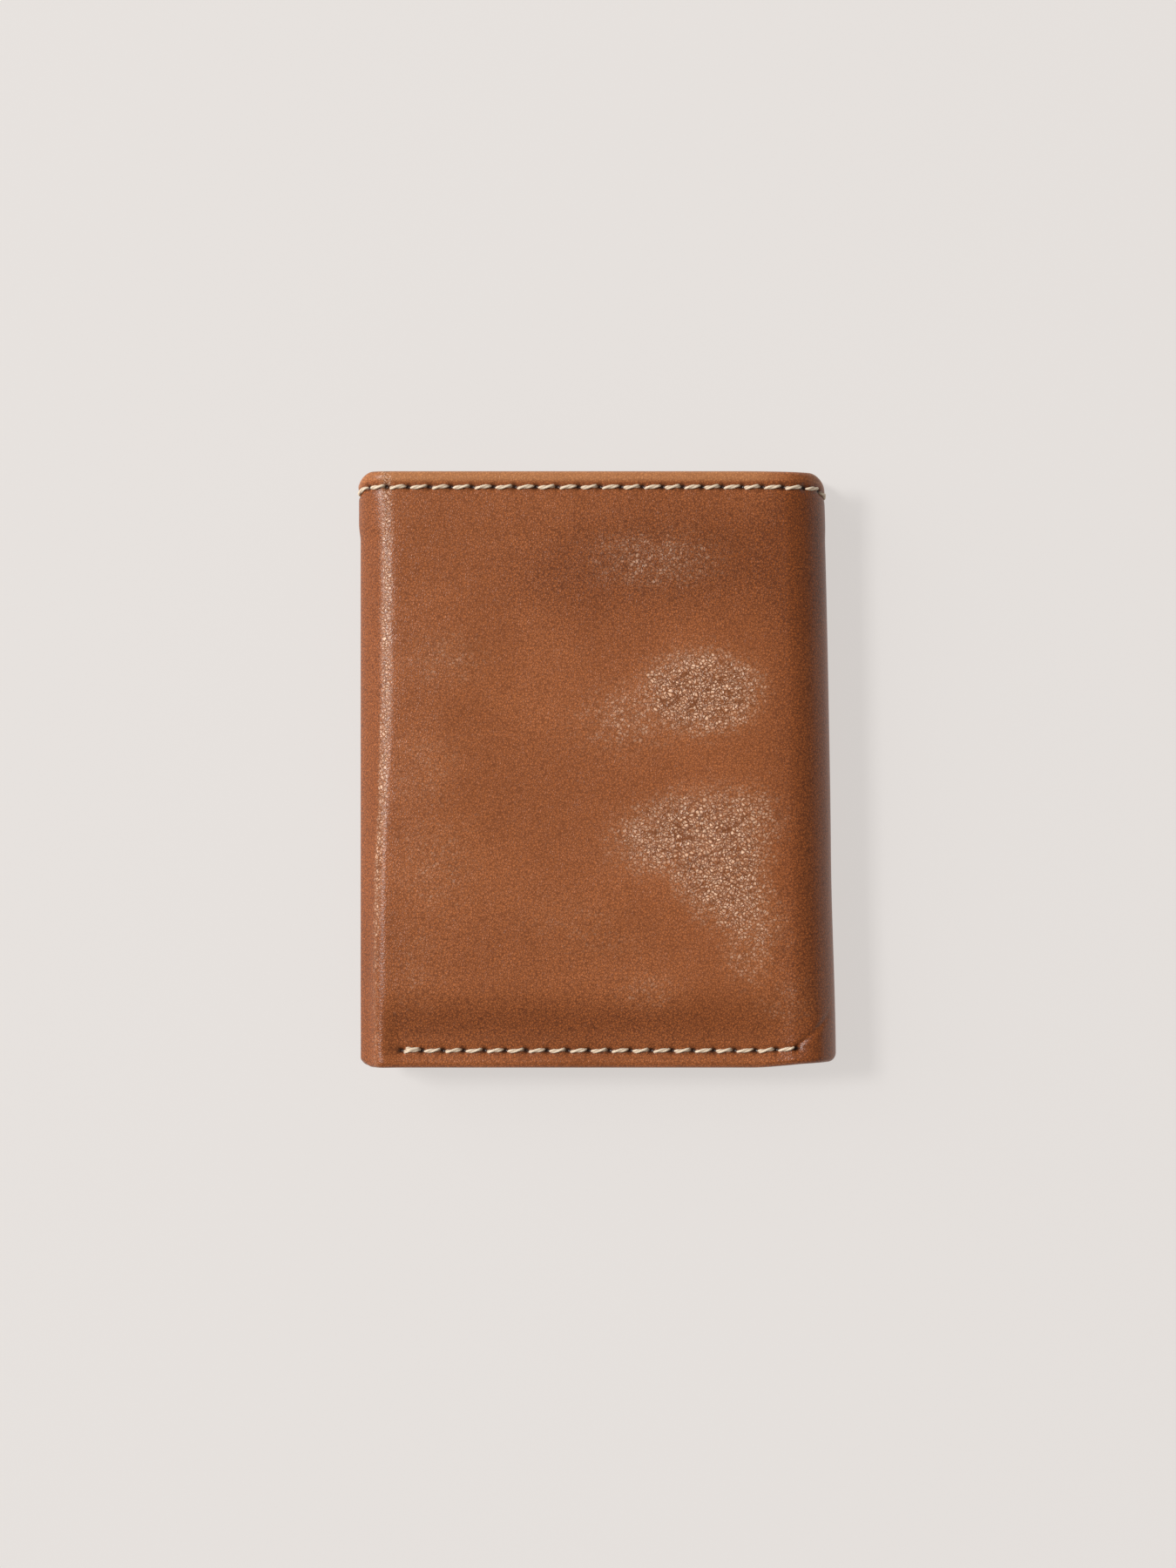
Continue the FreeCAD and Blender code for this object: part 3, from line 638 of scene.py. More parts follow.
class Graph:
    """A material's node tree, with short ways to add and join nodes."""

    def __init__(self, name):
        self.material = bpy.data.materials.new(name)
        self.material.use_nodes = True
        self.tree = self.material.node_tree
        self.tree.nodes.clear()
        self.shader = self.tree.nodes.new("ShaderNodeBsdfPrincipled")
        output = self.tree.nodes.new("ShaderNodeOutputMaterial")
        self.tree.links.new(self.shader.outputs[0], output.inputs["Surface"])

    def put(self, socket, value):
        """Links a socket to another node's output, or sets its value; None leaves it as it is."""
        if isinstance(value, bpy.types.NodeSocket):
            self.tree.links.new(value, socket)
        elif value is not None:
            socket.default_value = value

    def attribute(self, name, output="Fac"):
        node = self.tree.nodes.new("ShaderNodeAttribute")
        node.attribute_name = name
        return node.outputs[output]

    def math(self, operation, a, b=None, c=None, clamp=False):
        node = self.tree.nodes.new("ShaderNodeMath")
        node.operation, node.use_clamp = operation, clamp
        for socket, value in zip(node.inputs, (a, b, c)):
            self.put(socket, value)
        return node.outputs[0]

    def times(self, a, b, plus=None):
        """a times b, plus a third value if there is one."""
        return self.math("MULTIPLY" if plus is None else "MULTIPLY_ADD", a, b, plus)

    def shift(self, place, amount, scale, seed):
        """A place nudged by smooth noise, so that a pattern isn't regular."""
        noise = self.noise(self.offset(place, seed), scale, 2, output="Color")
        centred = self.vector("SUBTRACT", noise, (0.5, 0.5, 0.5))
        return self.vector("ADD", place, self.vector("SCALE", centred, scale=amount))

    def offset(self, place, seed):
        return self.vector("ADD", place, (seed, 0.37 * seed, 0.11 * seed))

    def rotated(self, place, degrees):
        """A place turned about the leather's normal."""
        node = self.tree.nodes.new("ShaderNodeVectorRotate")
        node.rotation_type = "Z_AXIS"
        self.put(node.inputs["Vector"], place)
        self.put(node.inputs["Angle"], math.radians(degrees))
        return node.outputs[0]

    def vector(self, operation, a, b=None, scale=None):
        node = self.tree.nodes.new("ShaderNodeVectorMath")
        node.operation = operation
        self.put(node.inputs[0], a)
        self.put(node.inputs[1], b)
        if scale is not None:
            self.put(next(i for i in node.inputs if i.identifier == "Scale"), scale)
        return node.outputs[0]

    def noise(self, place, scale, detail, roughness=0.5, output="Fac"):
        node = self.tree.nodes.new("ShaderNodeTexNoise")
        self.put(node.inputs["Vector"], place)
        node.inputs["Scale"].default_value = scale
        node.inputs["Detail"].default_value = detail
        node.inputs["Roughness"].default_value = roughness
        return node.outputs[output]

    def voronoi(self, place, scale, feature="F1"):
        node = self.tree.nodes.new("ShaderNodeTexVoronoi")
        node.feature = feature
        self.put(node.inputs["Vector"], place)
        node.inputs["Scale"].default_value = scale
        return node

    def channel(self, colour):
        """The first channel of a colour."""
        node = self.tree.nodes.new("ShaderNodeSeparateColor")
        self.put(node.inputs[0], colour)
        return node.outputs[0]

    def steps(self, value, low, high, to_low=0.0, to_high=1.0):
        """A value mapped smoothly from one range to another."""
        node = self.tree.nodes.new("ShaderNodeMapRange")
        node.interpolation_type = "SMOOTHSTEP"
        for socket, v in zip(node.inputs, (value, low, high, to_low, to_high)):
            self.put(socket, v)
        return node.outputs[0]

    def mix(self, share, a, b):
        """Mixes two colours."""
        node = self.tree.nodes.new("ShaderNodeMix")
        node.data_type = "RGBA"
        sockets = [s for s in node.inputs if s.type == "RGBA"]
        self.put(node.inputs[0], share)
        self.put(sockets[0], a)
        self.put(sockets[1], b)
        return next(s for s in node.outputs if s.type == "RGBA")

    def bump(self, height, distance, strength=1.0):
        node = self.tree.nodes.new("ShaderNodeBump")
        node.inputs["Distance"].default_value = distance
        node.inputs["Strength"].default_value = strength
        self.put(node.inputs["Height"], height)
        return node.outputs[0]

    def finish(self, **values):
        """Sets the shader's inputs by name; underscores stand for spaces."""
        for name, value in values.items():
            self.put(self.shader.inputs[name.replace("_", " ")], value)
        return self.material


# Sizes in metres, as the texture places are, and the turn of the wrinkles in degrees.
PEBBLE_GROUP = 0.00125
PEBBLE = 0.00060
FINE_PEBBLE = 0.00043
PEBBLE_HEIGHT = 0.00006
WEAVE_PITCH = 0.00036
WEAVE_HEIGHT = 0.00005
FIBRE_HEIGHT = 0.00004
FILM_WAVES = 0.0002
WRINKLE_TURN = 24

LEATHER_LIGHT = (0.468, 0.146, 0.044, 1)
LEATHER_DARK = (0.390, 0.118, 0.034, 1)
# Patina mixed with painted shade, for the folds, the seam and the bands below the top.
LEATHER_PATINA_AND_SHADE = (0.290, 0.073, 0.012, 1)
# Paler tone; round the rubbed patches it also lays a painted sheen.
LEATHER_PALE = (0.560, 0.240, 0.094, 1)
LEATHER_CREASE = (0.110, 0.029, 0.008, 1)
LEATHER_LINE = (0.155, 0.046, 0.013, 1)
# Pale tops of the rubbed pebbles: painted sheen.
LEATHER_PAINTED_SHEEN = (0.950, 0.630, 0.430, 1)
# Painted shade in the needle holes.
HOLE_SHADE = (0.022, 0.007, 0.003, 1)
INTERIOR_DARK = (0.190, 0.062, 0.024, 1)
INTERIOR_LIGHT = (0.270, 0.094, 0.037, 1)
INTERIOR_CREASE = (0.060, 0.020, 0.008, 1)
LINING_DARK = (0.028, 0.017, 0.011, 1)
LINING_LIGHT = (0.055, 0.034, 0.022, 1)
THREAD_DARK = (0.66, 0.52, 0.37, 1)
THREAD_LIGHT = (0.84, 0.71, 0.54, 1)
# Painted shade for the grooves of the thread's twist.
THREAD_GROOVE_SHADE = (0.22, 0.12, 0.060, 1)
FILM_TINT = (0.93, 0.95, 0.95, 1)


def pebbled_leather():
    """Waxy brown full-grain leather: fine pebbles, larger where rubbed, and paler there with
    painted sheen.
    """
    g = Graph("pebbled_leather")
    place = g.attribute("rest", "Vector")
    wear_and_sheen, hole_shade, patina_and_shade = g.attribute("wear_and_sheen"), g.attribute("hole_shade"), g.attribute("patina_and_shade")
    warped = g.shift(g.shift(place, 0.0012, 300, 0.2), 0.00020, 1900, 0.6)

    def cell_edges(size, seed):
        shifted = g.offset(warped, seed)
        return g.voronoi(shifted, 1 / size, "DISTANCE_TO_EDGE").outputs["Distance"]

    # Grain: cells, groups of cells, and wrinkles drawn out along one direction.
    edges, fine_edges = cell_edges(PEBBLE, 0), cell_edges(FINE_PEBBLE, 0.3)
    groups = cell_edges(PEBBLE_GROUP, 0.1)
    drawn = g.vector("MULTIPLY", g.rotated(warped, -WRINKLE_TURN), (0.22, 1, 1))
    wrinkle = g.math("ABSOLUTE", g.math("SUBTRACT", g.noise(drawn, 560, 1), 0.5))
    wrinkle = g.steps(wrinkle, 0.002, 0.020, 0.25, 1.0)
    pebble = g.steps(edges, 0.0, 0.36)
    fine = g.steps(fine_edges, 0.0, 0.35)
    crease = g.times(g.steps(edges, 0.01, 0.17), 0.55, 0.45)
    crease = g.times(g.steps(groups, 0.005, 0.085), crease)
    crease = g.times(wrinkle, crease)

    # Rubbed patches, which carry painted sheen, with a ragged rim that follows the cells.
    grain = g.channel(g.voronoi(warped, 1 / PEBBLE).outputs["Color"])
    shine = g.times(grain, 0.34, 0.61)
    patchy = g.noise(place, 300, 5, 0.7)
    ragged = g.times(g.math("SUBTRACT", patchy, 0.5), 0.8, wear_and_sheen)
    ragged = g.times(g.math("SUBTRACT", grain, 0.5), 0.28, ragged)
    rubbed_and_sheen = g.times(g.steps(ragged, 0.08, 0.92), g.steps(wear_and_sheen, 0.0, 0.5))

    # Colour: cloudy ground, patina mixed with painted shade, dark net between fine cells, painted
    # sheen on rubbed cells, dark lines, painted shade in the needle holes.
    cloud = g.noise(g.offset(place, 0.9), 50, 5, 0.6)
    tone = g.mix(g.steps(cloud, 0.35, 0.68), LEATHER_DARK, LEATHER_LIGHT)
    # Patina mixed with painted shade darkens the leather; where it is below 0 the leather turns
    # paler.
    tone = g.mix(g.math("MULTIPLY", patina_and_shade, 0.9, clamp=True), tone, LEATHER_PATINA_AND_SHADE)
    tone = g.mix(g.math("MULTIPLY", patina_and_shade, -0.9, clamp=True), tone, LEATHER_PALE)
    # Painted sheen: a pale halo round the rubbed patches.
    tone = g.mix(g.times(g.steps(wear_and_sheen, 0.0, 0.9), 0.28), tone, LEATHER_PALE)
    speck = g.steps(g.noise(place, 2300, 3, 0.7), 0.30, 0.62)
    net = g.steps(fine_edges, 0.0, 0.16)
    depth = g.times(patina_and_shade, 0.33, 0.74)
    dark = g.times(g.math("SUBTRACT", 1.0, g.times(net, speck)), depth)
    tone = g.mix(dark, tone, LEATHER_CREASE)
    # Painted sheen: pale tops on the rubbed pebbles.
    painted_sheen = g.times(rubbed_and_sheen, wrinkle)
    painted_sheen = g.times(painted_sheen, g.times(pebble, shine))
    tone = g.mix(painted_sheen, tone, LEATHER_PAINTED_SHEEN)
    lines = g.times(g.math("SUBTRACT", 1.0, crease), g.times(rubbed_and_sheen, 0.9))
    tone = g.mix(lines, tone, LEATHER_LINE)
    # Painted shade in the needle holes and along the furrows.
    tone = g.mix(hole_shade, tone, HOLE_SHADE)

    opened = g.times(crease, 0.7, g.times(pebble, 0.5))
    opened = g.times(rubbed_and_sheen, opened)
    height = g.times(fine, 0.34, opened)
    height = g.times(g.noise(place, 5200, 2), 0.07, height)
    roughness = g.times(rubbed_and_sheen, -0.06, g.times(cloud, 0.10, 0.29))
    return g.finish(
        Base_Color=tone,
        Roughness=roughness,
        Normal=g.bump(height, PEBBLE_HEIGHT),
        Specular_IOR_Level=0.38,
    )


def smooth_leather():
    """Finer, flatter leather of the inside, a little darker than the shell."""
    g = Graph("smooth_leather")
    place = g.attribute("rest", "Vector")
    warped = g.shift(g.shift(place, 0.0008, 300, 0.4), 0.00015, 2400, 0.8)
    edges = g.voronoi(warped, 1 / FINE_PEBBLE, "DISTANCE_TO_EDGE").outputs["Distance"]
    crease, pebble = g.steps(edges, 0.02, 0.20), g.steps(edges, 0.0, 0.40)
    cloud = g.noise(place, 70, 5, 0.6)
    tone = g.mix(g.steps(cloud, 0.3, 0.7), INTERIOR_DARK, INTERIOR_LIGHT)
    tone = g.mix(g.times(crease, -0.6, 0.6), tone, INTERIOR_CREASE)
    height = g.times(pebble, 0.6, g.times(g.noise(place, 5200, 2), 0.15))
    return g.finish(
        Base_Color=tone,
        Roughness=g.times(cloud, 0.15, 0.36),
        Normal=g.bump(height, PEBBLE_HEIGHT),
        Specular_IOR_Level=0.42,
    )


def woven_lining():
    """Thin dark lining with a plain weave."""
    g = Graph("woven_lining")
    place = g.attribute("rest", "Vector")
    split = g.tree.nodes.new("ShaderNodeSeparateXYZ")
    g.put(split.inputs[0], place)
    threads = 2 * math.pi / WEAVE_PITCH
    warp = g.math("SINE", g.times(split.outputs[0], threads))
    weft = g.math("SINE", g.times(split.outputs[1], threads))
    weave = g.times(g.times(warp, weft), 0.5, 0.5)
    return g.finish(
        Base_Color=g.mix(weave, LINING_DARK, LINING_LIGHT),
        Roughness=0.85,
        Normal=g.bump(weave, WEAVE_HEIGHT, 0.7),
        Sheen_Weight=0.2,
    )


def waxed_thread():
    """Cream thread, with fibres along each ply and painted shade in the grooves of the twist."""
    g = Graph("waxed_thread")
    place = g.attribute("rest", "Vector")
    groove = g.attribute("groove")
    fibre = g.noise(g.vector("MULTIPLY", place, (0.5, 3.0, 3.0)), 3000, 3)
    tone = g.mix(g.steps(fibre, 0.3, 0.7), THREAD_DARK, THREAD_LIGHT)
    # Painted shade in the grooves of the twist.
    tone = g.mix(g.times(groove, 0.55), tone, THREAD_GROOVE_SHADE)
    return g.finish(
        Base_Color=tone,
        Roughness=0.62,
        Normal=g.bump(fibre, FIBRE_HEIGHT, 0.7),
        Sheen_Weight=0.15,
        Specular_IOR_Level=0.35,
    )


def clear_film():
    """Thin, slightly wavy clear sheet."""
    g = Graph("window_vinyl")
    haze = g.noise(g.attribute("rest", "Vector"), 220, 3)
    return g.finish(
        Base_Color=FILM_TINT,
        Roughness=g.times(haze, 0.08, 0.06),
        Alpha=0.22,
        Normal=g.bump(haze, FILM_WAVES, 0.35),
        Specular_IOR_Level=0.6,
    )


MATERIALS = {
    "shell_leather": pebbled_leather(),
    "interior_leather": smooth_leather(),
    "lining_fabric": woven_lining(),
    "thread": waxed_thread(),
    "clear_film": clear_film(),
}


def dress(piece, slot, node=None):
    """Gives a piece the material of its slot, and hides the CAD node it stands for if there is one.
    """
    piece.data.materials.append(MATERIALS[slot])
    if node:
        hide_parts(node)


# ------------------------ layers of the strip


def depth_range(node):
    """How deep a CAD node of the outer flap, centre panel or inner flap lies, nearest first."""
    low, high = box_mm(node)
    if node.startswith("center_panel"):
        return CENTER_Z - high[2], CENTER_Z - low[2]
    base = INNER_FLAP_Z if node.startswith("inner_flap") else 0.0
    return low[2] - base, high[2] - base


LIP_INSET = 1.9
LIP_WIDTH = 0.42


def course_loop(low, high, near_at, thickness, lip=0.0):
    """Cross-section of a sheet between two heights. near_at(v) is the depth of its outer side.

    lip is the depth of a line creased into the inner side, just below the top edge.
    """
    edge = thickness / 2
    fine = stations(high - 3.2, high - edge, 0.3) if lip else np.array([high - 1, high - edge])
    vs = np.concatenate([stations(low + edge, fine[0], 1.6)[:-1], fine])
    near = near_at(vs)
    far = near + thickness - lip * bell(vs - high + LIP_INSET, LIP_WIDTH)
    top, bottom = (
        quarter(v, near_at(np.array([v]))[0] + edge, edge, angle, angle - 120)
        for v, angle in ((high - edge, 60), (low + edge, 240))
    )
    pieces = [(vs, near), top, (vs[::-1], far[::-1]), bottom]
    return tuple(np.concatenate(part) for part in zip(*pieces))


def level(depth):
    """The near_at of a flat sheet."""
    return lambda v: np.full(np.shape(v), depth)


def edged(loop, start, end, thickness, corners, depth):
    """loop at every u, drawn in to a rounded edge at start and end.

    corners are the plan radii at the two ends, and depth is that of the loop's outer side.
    """

    def at(u):
        v, d = loop
        for inset, corner in ((u - start, corners[0]), (end - u, corners[1])):
            v, d = rounded_end(v, d - depth, inset, corner, thickness)
            d = d + depth
        return v, d

    return at


strip_layer("shell", flap_shell_loop, 0.30, "shell_leather")

LINING_LOW, LINING_HIGH = box_mm("outer_flap_lining")
LINING_THICKNESS = 0.2
LINING_LOOP = course_loop(LINING_LOW[1], LINING_HIGH[1], level(LINING_LOW[2]), LINING_THICKNESS)
LINING_U = [
    INNER_EDGE_X - box_mm("inner_flap_lining")[1][0],
    U_OUTER_FLAP + OUTER_FOLD_X - LINING_LOW[0],
]
strip_layer("lining", lambda u: LINING_LOOP, 0.9, "lining_fabric", LINING_U)

WALL_LOW, WALL_HIGH = box_mm("outer_flap_bill_wall")
WALL_THICKNESS = WALL_HIGH[2] - WALL_LOW[2]
WALL_LOOP = course_loop(WALL_LOW[1], WALL_HIGH[1], level(WALL_LOW[2]), WALL_THICKNESS)
WALL_EDGED = edged(WALL_LOOP, 0.0, U_END, WALL_THICKNESS, [FREE_CORNER] * 2, WALL_LOW[2])
strip_layer("bill_wall", WALL_EDGED, 0.7, "interior_leather")

# ------------------------ what is sewn inside each panel

# How x on each panel becomes u.
PANELS = {
    "center_panel": center_u,
    "outer_flap": lambda x: U_OUTER_FLAP + OUTER_FOLD_X - x,
    "inner_flap": lambda x: INNER_EDGE_X - x,
}
STEP_LENGTH = 4.0
STEP_OVERLAP = 1.0
PLATE_CORNER = 0.8
PLATE_EDGE_STEPS = np.array([0, 0.04, 0.12, 0.25, 0.5, 1.0, 1.8, 2.6, FREE_CORNER])


def plate(panel, ending, slot, thickness, rises_below=None, lip=0.0):
    """A sheet that stands for one CAD node. rises_below names a node whose foot it steps over."""
    node = f"{panel}_{ending}"
    low, high = box_mm(node)
    near, far = depth_range(node)
    start, end = sorted(PANELS[panel](x) for x in (low[0], high[0]))

    near_at = level(near)
    if rises_below:
        step = box_mm(f"{panel}_{rises_below}")[0][1] - STEP_OVERLAP

        def near_at(v):
            return near + (far - thickness - near) * ease(v, step - STEP_LENGTH, step)

    corners = [
        FREE_CORNER if abs(u) < 1 or abs(u - U_END) < 1 else PLATE_CORNER for u in (start, end)
    ]
    loop = course_loop(low[1], high[1], near_at, thickness, lip)
    loop_of = edged(loop, start, end, thickness, corners, near)
    between = stations(start + 4, end - 4, 1.0)
    us = np.concatenate([start + PLATE_EDGE_STEPS, between, end - PLATE_EDGE_STEPS[::-1]])
    piece = swept(f"{panel}.{ending}", us, loop_of, (True, True))
    dress(piece, slot, node)
    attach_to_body(piece, panel)


POCKET = 0.55
POCKET_BACKING = 0.15
FILM = 0.15
for panel in PANELS:
    near, far = depth_range(f"{panel}_card_panel")
    plate(panel, "card_panel", "interior_leather", far - near, lip=0.07)
for panel in ("center_panel", "outer_flap"):
    for pocket, below in (("back", None), ("middle", "back_pocket"), ("front", "middle_pocket")):
        plate(panel, f"{pocket}_pocket", "interior_leather", POCKET, below, lip=0.12)
        if pocket != "front":
            plate(panel, f"{pocket}_pocket_lining", "lining_fabric", POCKET_BACKING, below)
plate("inner_flap", "window_film", "clear_film", FILM)


# ------------------------ card window's frame

WINDOW_SIDE, WINDOW_FOOT, WINDOW_HEAD = 7.0, 8.0, 12.0
WINDOW_CORNER = 3.0
NOTCH_R, NOTCH_DEPTH = 9.0, 5.0
CORNER_POINTS = 9
SIDE_POINTS = 41
FRAME_LINE_INSET = 1.7
FRAME_LINE_WIDTH = 0.45
FRAME_LINE_DEPTH = 0.10


def rounded_rectangle(low, high, radii):
    """Points round a rectangle, anticlockwise from its top right corner.

    radii are the corners' radii: top right, top left, bottom left, bottom right.
    """
    signs = [(1, 1), (-1, 1), (-1, -1), (1, -1)]
    corners = []
    for (sx, sy), r, start in zip(signs, radii, (0, 90, 180, 270)):
        centre = (high[0] - r if sx > 0 else low[0] + r, high[1] - r if sy > 0 else low[1] + r)
        a = np.radians(np.linspace(start, start + 90, CORNER_POINTS))
        corners.append(np.stack([centre[0] + r * np.cos(a), centre[1] + r * np.sin(a)], -1))
    sides = []
    for corner, following in zip(corners, corners[1:] + corners[:1]):
        share = np.linspace(0, 1, SIDE_POINTS)[1:-1, None]
        sides += [corner, corner[-1] + share * (following[0] - corner[-1])]
    return np.concatenate(sides)


def window_frame():
    """The leather frame of the card window, as rings from the hole's edge to the outer edge."""
    low, high = box_mm("inner_flap_window_frame")
    near, far = depth_range("inner_flap_window_frame")
    middle_x = (low[0] + high[0]) / 2
    radii = (FREE_CORNER, PLATE_CORNER, PLATE_CORNER, FREE_CORNER)
    outer = rounded_rectangle(low, high, radii)
    hole = rounded_rectangle(
        (low[0] + WINDOW_SIDE, low[1] + WINDOW_FOOT),
        (high[0] - WINDOW_SIDE, high[1] - WINDOW_HEAD),
        [WINDOW_CORNER] * 4,
    )
    reach = np.abs(outer[:, 0] - middle_x)
    notch = np.sqrt(np.maximum(NOTCH_R**2 - reach**2, 0)) - (NOTCH_R - NOTCH_DEPTH)
    notch = np.where(outer[:, 1] > high[1] - 0.01, np.maximum(notch, 0), 0)
    outer[:, 1] -= notch
    edge = (far - near) / 2
    away = unit(outer - hole)
    inner_ring, outer_ring = hole + away * edge, outer - away * edge
    rings = []
    for a in np.radians(np.linspace(-90, 90, 7)):
        rings.append((hole + away * edge * (1 - math.cos(a)), near + edge * (1 + math.sin(a))))
    for share in np.linspace(0, 1, 12)[1:-1]:
        plan = inner_ring + share * (outer_ring - inner_ring)
        line = 0
        for border in (hole, outer):
            inset = np.linalg.norm(plan - border, axis=1)
            line = line + bell(inset - FRAME_LINE_INSET, FRAME_LINE_WIDTH)
        rings.append((plan, far - FRAME_LINE_DEPTH * line))
    for a in np.radians(np.linspace(90, -90, 7)):
        rings.append((outer - away * edge * (1 - math.cos(a)), near + edge * (1 + math.sin(a))))
    xy = np.stack([plan for plan, _ in rings])
    depths = np.stack([np.broadcast_to(d, len(outer)) for _, d in rings])
    uu = PANELS["inner_flap"](xy[..., 0])
    points = surface(uu, xy[..., 1], depths)
    rest = np.stack([uu, xy[..., 1], depths], -1)
    inward_faces = grid_faces(*uu.shape, closed=True)
    faces = inward_faces[:, [0, 3, 2, 1]].tolist()
    piece = make_mesh("inner_flap.window_frame", points, faces, None, rest)
    dress(piece, "interior_leather", "inner_flap_window_frame")
    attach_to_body(piece, "inner_flap")


window_frame()

# ------------------------ stitches

THREAD_R = 0.35
THREAD_SIDES = 14
THREAD_RINGS = 19
THREAD_RISE = 0.30
ROW_RISE_INSIDE = 0.15
UPRIGHT_RISE_INSIDE = 0.2
HOLE_GAP = 0.90
SLANT = 0.22
TWISTS = 1.4
STITCH_LENGTH = STITCH_PITCH - HOLE_GAP


def stitch(u, v, depth, rise, sign=1, length=STITCH_LENGTH, way="u", slant=SLANT):
    """One bar of thread centred at (u, v). sign is 1 outside the leather and -1 inside it.

    way is the axis it runs along, and slant how far its ends lie off that axis.
    """
    bar = {"u": u, "v": v, "depth": depth, "rise": rise}
    return {**bar, "sign": sign, "length": length, "way": way, "slant": slant}


def thread_tube(bar, number):
    """Points of one bar, with the place and the groove of the twist for its material."""
    t = np.linspace(0, 1, THREAD_RINGS)
    turn = np.linspace(0, 2 * math.pi, THREAD_SIDES, endpoint=False)
    run, side = (t - 0.5) * bar["length"], (2 * t - 1) * bar["slant"]
    out = np.abs(2 * t - 1)
    height = bar["rise"] * (1 - out**3) - 0.70 * out**8
    us = bar["u"] + (run if bar["way"] == "u" else side)
    vs = bar["v"] + (side if bar["way"] == "u" else run)
    line = surface(us, vs, bar["depth"] - bar["sign"] * height)
    tangent = unit(np.gradient(line, axis=0))
    up = unit(surface(us, vs, bar["depth"] - 0.1) - surface(us, vs, bar["depth"] + 0.1))
    across = unit(np.cross(tangent, up * bar["sign"]))
    up = np.cross(across, tangent)
    lobes = np.cos(2 * (turn[None] - 2 * math.pi * (TWISTS * t[:, None] / 2 + 0.13 * number)))
    radius = THREAD_R * (0.86 + 0.19 * lobes) * (1 - 0.3 * out[:, None] ** 6) * MM
    spread = np.cos(turn)[:, None] * across[:, None] + np.sin(turn)[:, None] * up[:, None]
    rest = np.stack(
        [
            np.repeat(run[:, None], THREAD_SIDES, 1) + number * 1.7,
            np.repeat(turn[None] * THREAD_R, THREAD_RINGS, 0),
            np.full((THREAD_RINGS, THREAD_SIDES), 0.9 * number),
        ],
        -1,
    )
    return line[:, None] + spread * radius[..., None], rest, np.clip(-lobes, 0, 1) ** 1.5


def sew(name, bars, node):
    """One mesh of stitches, standing for a CAD node where one is named."""
    tubes = [thread_tube(bar, i) for i, bar in enumerate(bars)]
    size = THREAD_RINGS * THREAD_SIDES
    tube = grid_faces(THREAD_RINGS, THREAD_SIDES)
    ends = [list(range(THREAD_SIDES))[::-1], list(range(size - THREAD_SIDES, size))]
    faces = []
    for n in range(len(bars)):
        faces += (tube + n * size).tolist() + [[c + n * size for c in end] for end in ends]
    points, rest, groove = (
        np.concatenate([values.reshape(size, -1) for values in part]) for part in zip(*tubes)
    )
    piece = make_mesh(name, points, faces)
    set_values(piece, "rest", rest * MM)
    set_values(piece, "groove", groove)
    dress(piece, "thread", node)
    return piece


def row_along(centres, holes, v, inside):
    """Bars along u on both faces, each between its two holes. inside is the far face's depth."""
    bars = []
    for centre, before, after in zip(centres, holes, holes[1:]):
        length = after - before - HOLE_GAP
        rise = THREAD_RISE * (1 - float(on_table(centre)))
        bars.append(stitch(centre, v, 0.0, rise, length=length))
        bars.append(stitch(centre, v, inside, ROW_RISE_INSIDE, -1, length, slant=-SLANT))
    return bars


def row_upright(u, low, high, outside, inside):
    """Bars along v on both faces. outside is the near face's depth, inside(v) the far face's."""
    bars = []
    rise = THREAD_RISE * (1 - (float(on_table(u)) if outside == 0 else 0))
    for v in spaced(low, high):
        bars.append(stitch(u, v, outside, rise, way="v"))
        bars.append(stitch(u, v, inside(v), UPRIGHT_RISE_INSIDE, -1, way="v", slant=-SLANT))
    return bars


TOP_BARS = row_along(TOP_CENTRES, TOP_HOLES, TOP_ROW_V, TOP_FOLDED)
for segment in SEGMENTS:
    name, start, end, _ = segment
    bars = [bar for bar in TOP_BARS if start <= bar["u"] < end]
    node = f"{STANDS_FOR[name]}_top_stitches" if name in STANDS_FOR else None
    attach(sew(f"{name}.top_stitches", bars, node), segment)


EDGE_MARGIN = 1.5


def face_depth(panel, v):
    """Depth of the innermost face of what is sewn on a panel, at a height."""
    pockets = ["front_pocket", "middle_pocket", "back_pocket"]
    under = {"front_pocket": "middle_pocket", "middle_pocket": "back_pocket"}
    for ending in [*(["window_frame"] if panel == "inner_flap" else pockets), "card_panel"]:
        _, high = box_mm(f"{panel}_{ending}")
        if v < high[1] - EDGE_MARGIN:
            near, far = depth_range(f"{panel}_{ending}")
            if ending in under:
                foot = box_mm(f"{panel}_{under[ending]}")[0][1]
                if v < foot - STEP_OVERLAP - STEP_LENGTH / 2:
                    return near + POCKET + (POCKET_BACKING if ending == "middle_pocket" else 0)
            return far
    return WALL_HIGH[2] if v < WALL_HIGH[1] - EDGE_MARGIN else SEAM_FOLDED


SEW_LOW = -TOP_Y + 2 * STITCH_INSET
SEW_HIGH = TOP_Y - 2 * STITCH_INSET
POCKET_ROW_TOP = {"center_panel": 36.0, "outer_flap": 36.0, "inner_flap": 40.0}


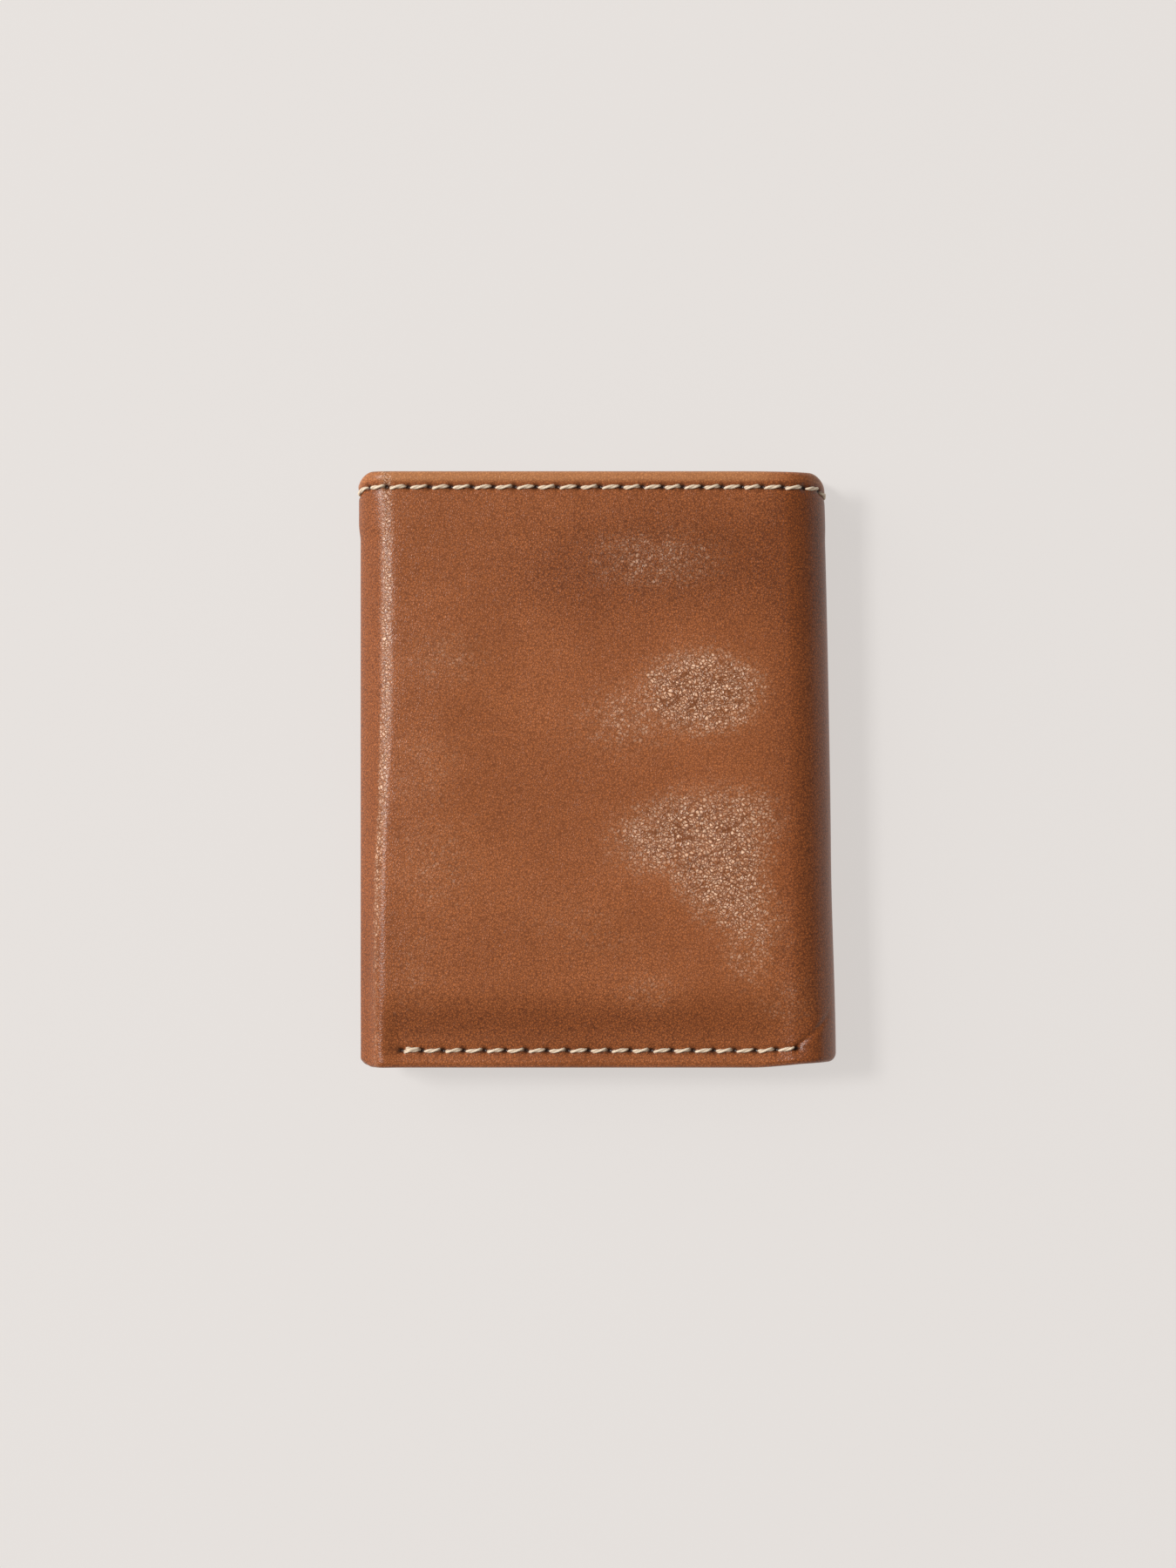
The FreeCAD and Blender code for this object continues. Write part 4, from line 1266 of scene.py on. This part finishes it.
def sew_panel(panel, bottom_x, side_x, pocket_xs):
    """The bottom, side and pocket rows of one panel, from their places in x."""
    to_u = PANELS[panel]

    def inside(v):
        return face_depth(panel, v)

    def sew_on(row, bars):
        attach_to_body(sew(f"{panel}.{row}_stitches", bars, f"{panel}_{row}_stitches"), panel)

    centres = spaced(*sorted(to_u(x) for x in bottom_x))
    bars = row_along(centres, holes_of(centres), BOTTOM_ROW_V, inside(BOTTOM_ROW_V))
    if panel == "center_panel":
        # The row ends in a doubled stitch at either side.
        for end, way in ((0, 1), (-2, -1)):
            twin = dict(bars[end], v=bars[end]["v"] + 0.30, slant=-0.05, rise=0.42)
            bars.append(dict(twin, u=twin["u"] + 0.25 * way, length=twin["length"] * 0.92))
    sew_on("bottom", bars)
    if side_x is not None:
        sew_on("side", row_upright(to_u(side_x), SEW_LOW, SEW_HIGH, 0.0, inside))
    near = depth_range(f"{panel}_card_panel")[0]
    bars = []
    for x in pocket_xs:
        bars += row_upright(to_u(x), SEW_LOW, POCKET_ROW_TOP[panel], near, inside)
    sew_on("pocket", bars)


def sewn_x(panel):
    """X of the pocket rows that can lie on a panel: one inside each edge of its card panel."""
    low, high = box_mm(f"{panel}_card_panel")
    return low[0] + STITCH_INSET, high[0] - STITCH_INSET


OUTER_ROW_X = OUTER_EDGE_X + STITCH_INSET
INNER_ROW_X = INNER_EDGE_X - STITCH_INSET
OUTER_BOTTOM_X = (OUTER_ROW_X + STITCH_INSET, OUTER_FOLD_X)
INNER_BOTTOM_X = (INNER_FOLD_X + 2.9, INNER_ROW_X - STITCH_INSET)
sew_panel("center_panel", BOTTOM_ROW_X, None, sewn_x("center_panel"))
sew_panel("outer_flap", OUTER_BOTTOM_X, OUTER_ROW_X, sewn_x("outer_flap")[1:])
sew_panel("inner_flap", INNER_BOTTOM_X, INNER_ROW_X, sewn_x("inner_flap")[:1])

# ------------------------ floor, light and camera

# Metres from here on.
FLOOR_HALF = 5.0
BACKDROP_HEIGHT = 1.0
FLOOR_TONE = (0.165, 0.161, 0.157, 1)
FLOOR_GLOW = (1.0, 0.950, 0.915, 1)
LIGHT_TONE = (1.0, 0.99, 0.98)
WORLD_TONE = (1.0, 0.965, 0.93, 1)
WORLD_STRENGTH = 0.22
CAMERA_LENS = 85
CAMERA_SENSOR = 36
CAMERA_PLACE = (-0.0016, -0.0026, CENTER_Z * MM + 0.669)


def stage_floor():
    """A plain pale table top that runs far out to a low backdrop on all four sides."""
    mesh = bpy.data.meshes.new("floor")
    corners = [(x * FLOOR_HALF, y * FLOOR_HALF) for x, y in ((-1, -1), (1, -1), (1, 1), (-1, 1))]
    points = [(x, y, z) for z in (0, BACKDROP_HEIGHT) for x, y in corners]
    walls = [(i, (i + 1) % 4, (i + 1) % 4 + 4, i + 4) for i in range(4)]
    mesh.from_pydata(points, [], [(0, 1, 2, 3), *walls])
    paper = Graph("floor_paper").finish(
        Base_Color=FLOOR_TONE,
        Roughness=0.9,
        Specular_IOR_Level=0.0,
        Emission_Color=FLOOR_GLOW,
        Emission_Strength=0.615,
    )
    mesh.materials.append(paper)
    floor = add_object("floor", mesh)


def area_light(name, place, size, power, glossy=True):
    """A soft square light that faces the wallet. One that isn't glossy has no reflection."""
    light = bpy.data.lights.new(name, "AREA")
    light.shape, light.size, light.energy, light.color = "SQUARE", size, power, LIGHT_TONE
    made = add_object(name, light)
    made.location = place
    made.visible_glossy = glossy
    aim = Vector((0, 0, 0.01)) - Vector(place)
    made.rotation_euler = aim.to_track_quat("-Z", "Y").to_euler()


stage_floor()
area_light("key", (-1.95, 0.62, 2.55), 0.60, 82)
area_light("window", (-2.7, 1.0, 1.7), 3.0, 62, glossy=False)
world = bpy.data.worlds.new("world")
world.use_nodes = True
background = world.node_tree.nodes["Background"]
background.inputs["Color"].default_value = WORLD_TONE
background.inputs["Strength"].default_value = WORLD_STRENGTH
bpy.context.scene.world = world
bpy.context.scene.view_settings.view_transform = "Standard"

camera = bpy.data.cameras.new("camera")
camera.lens, camera.sensor_width = CAMERA_LENS, CAMERA_SENSOR
camera_object = add_object("camera", camera)
camera_object.location = CAMERA_PLACE
bpy.context.scene.camera = camera_object
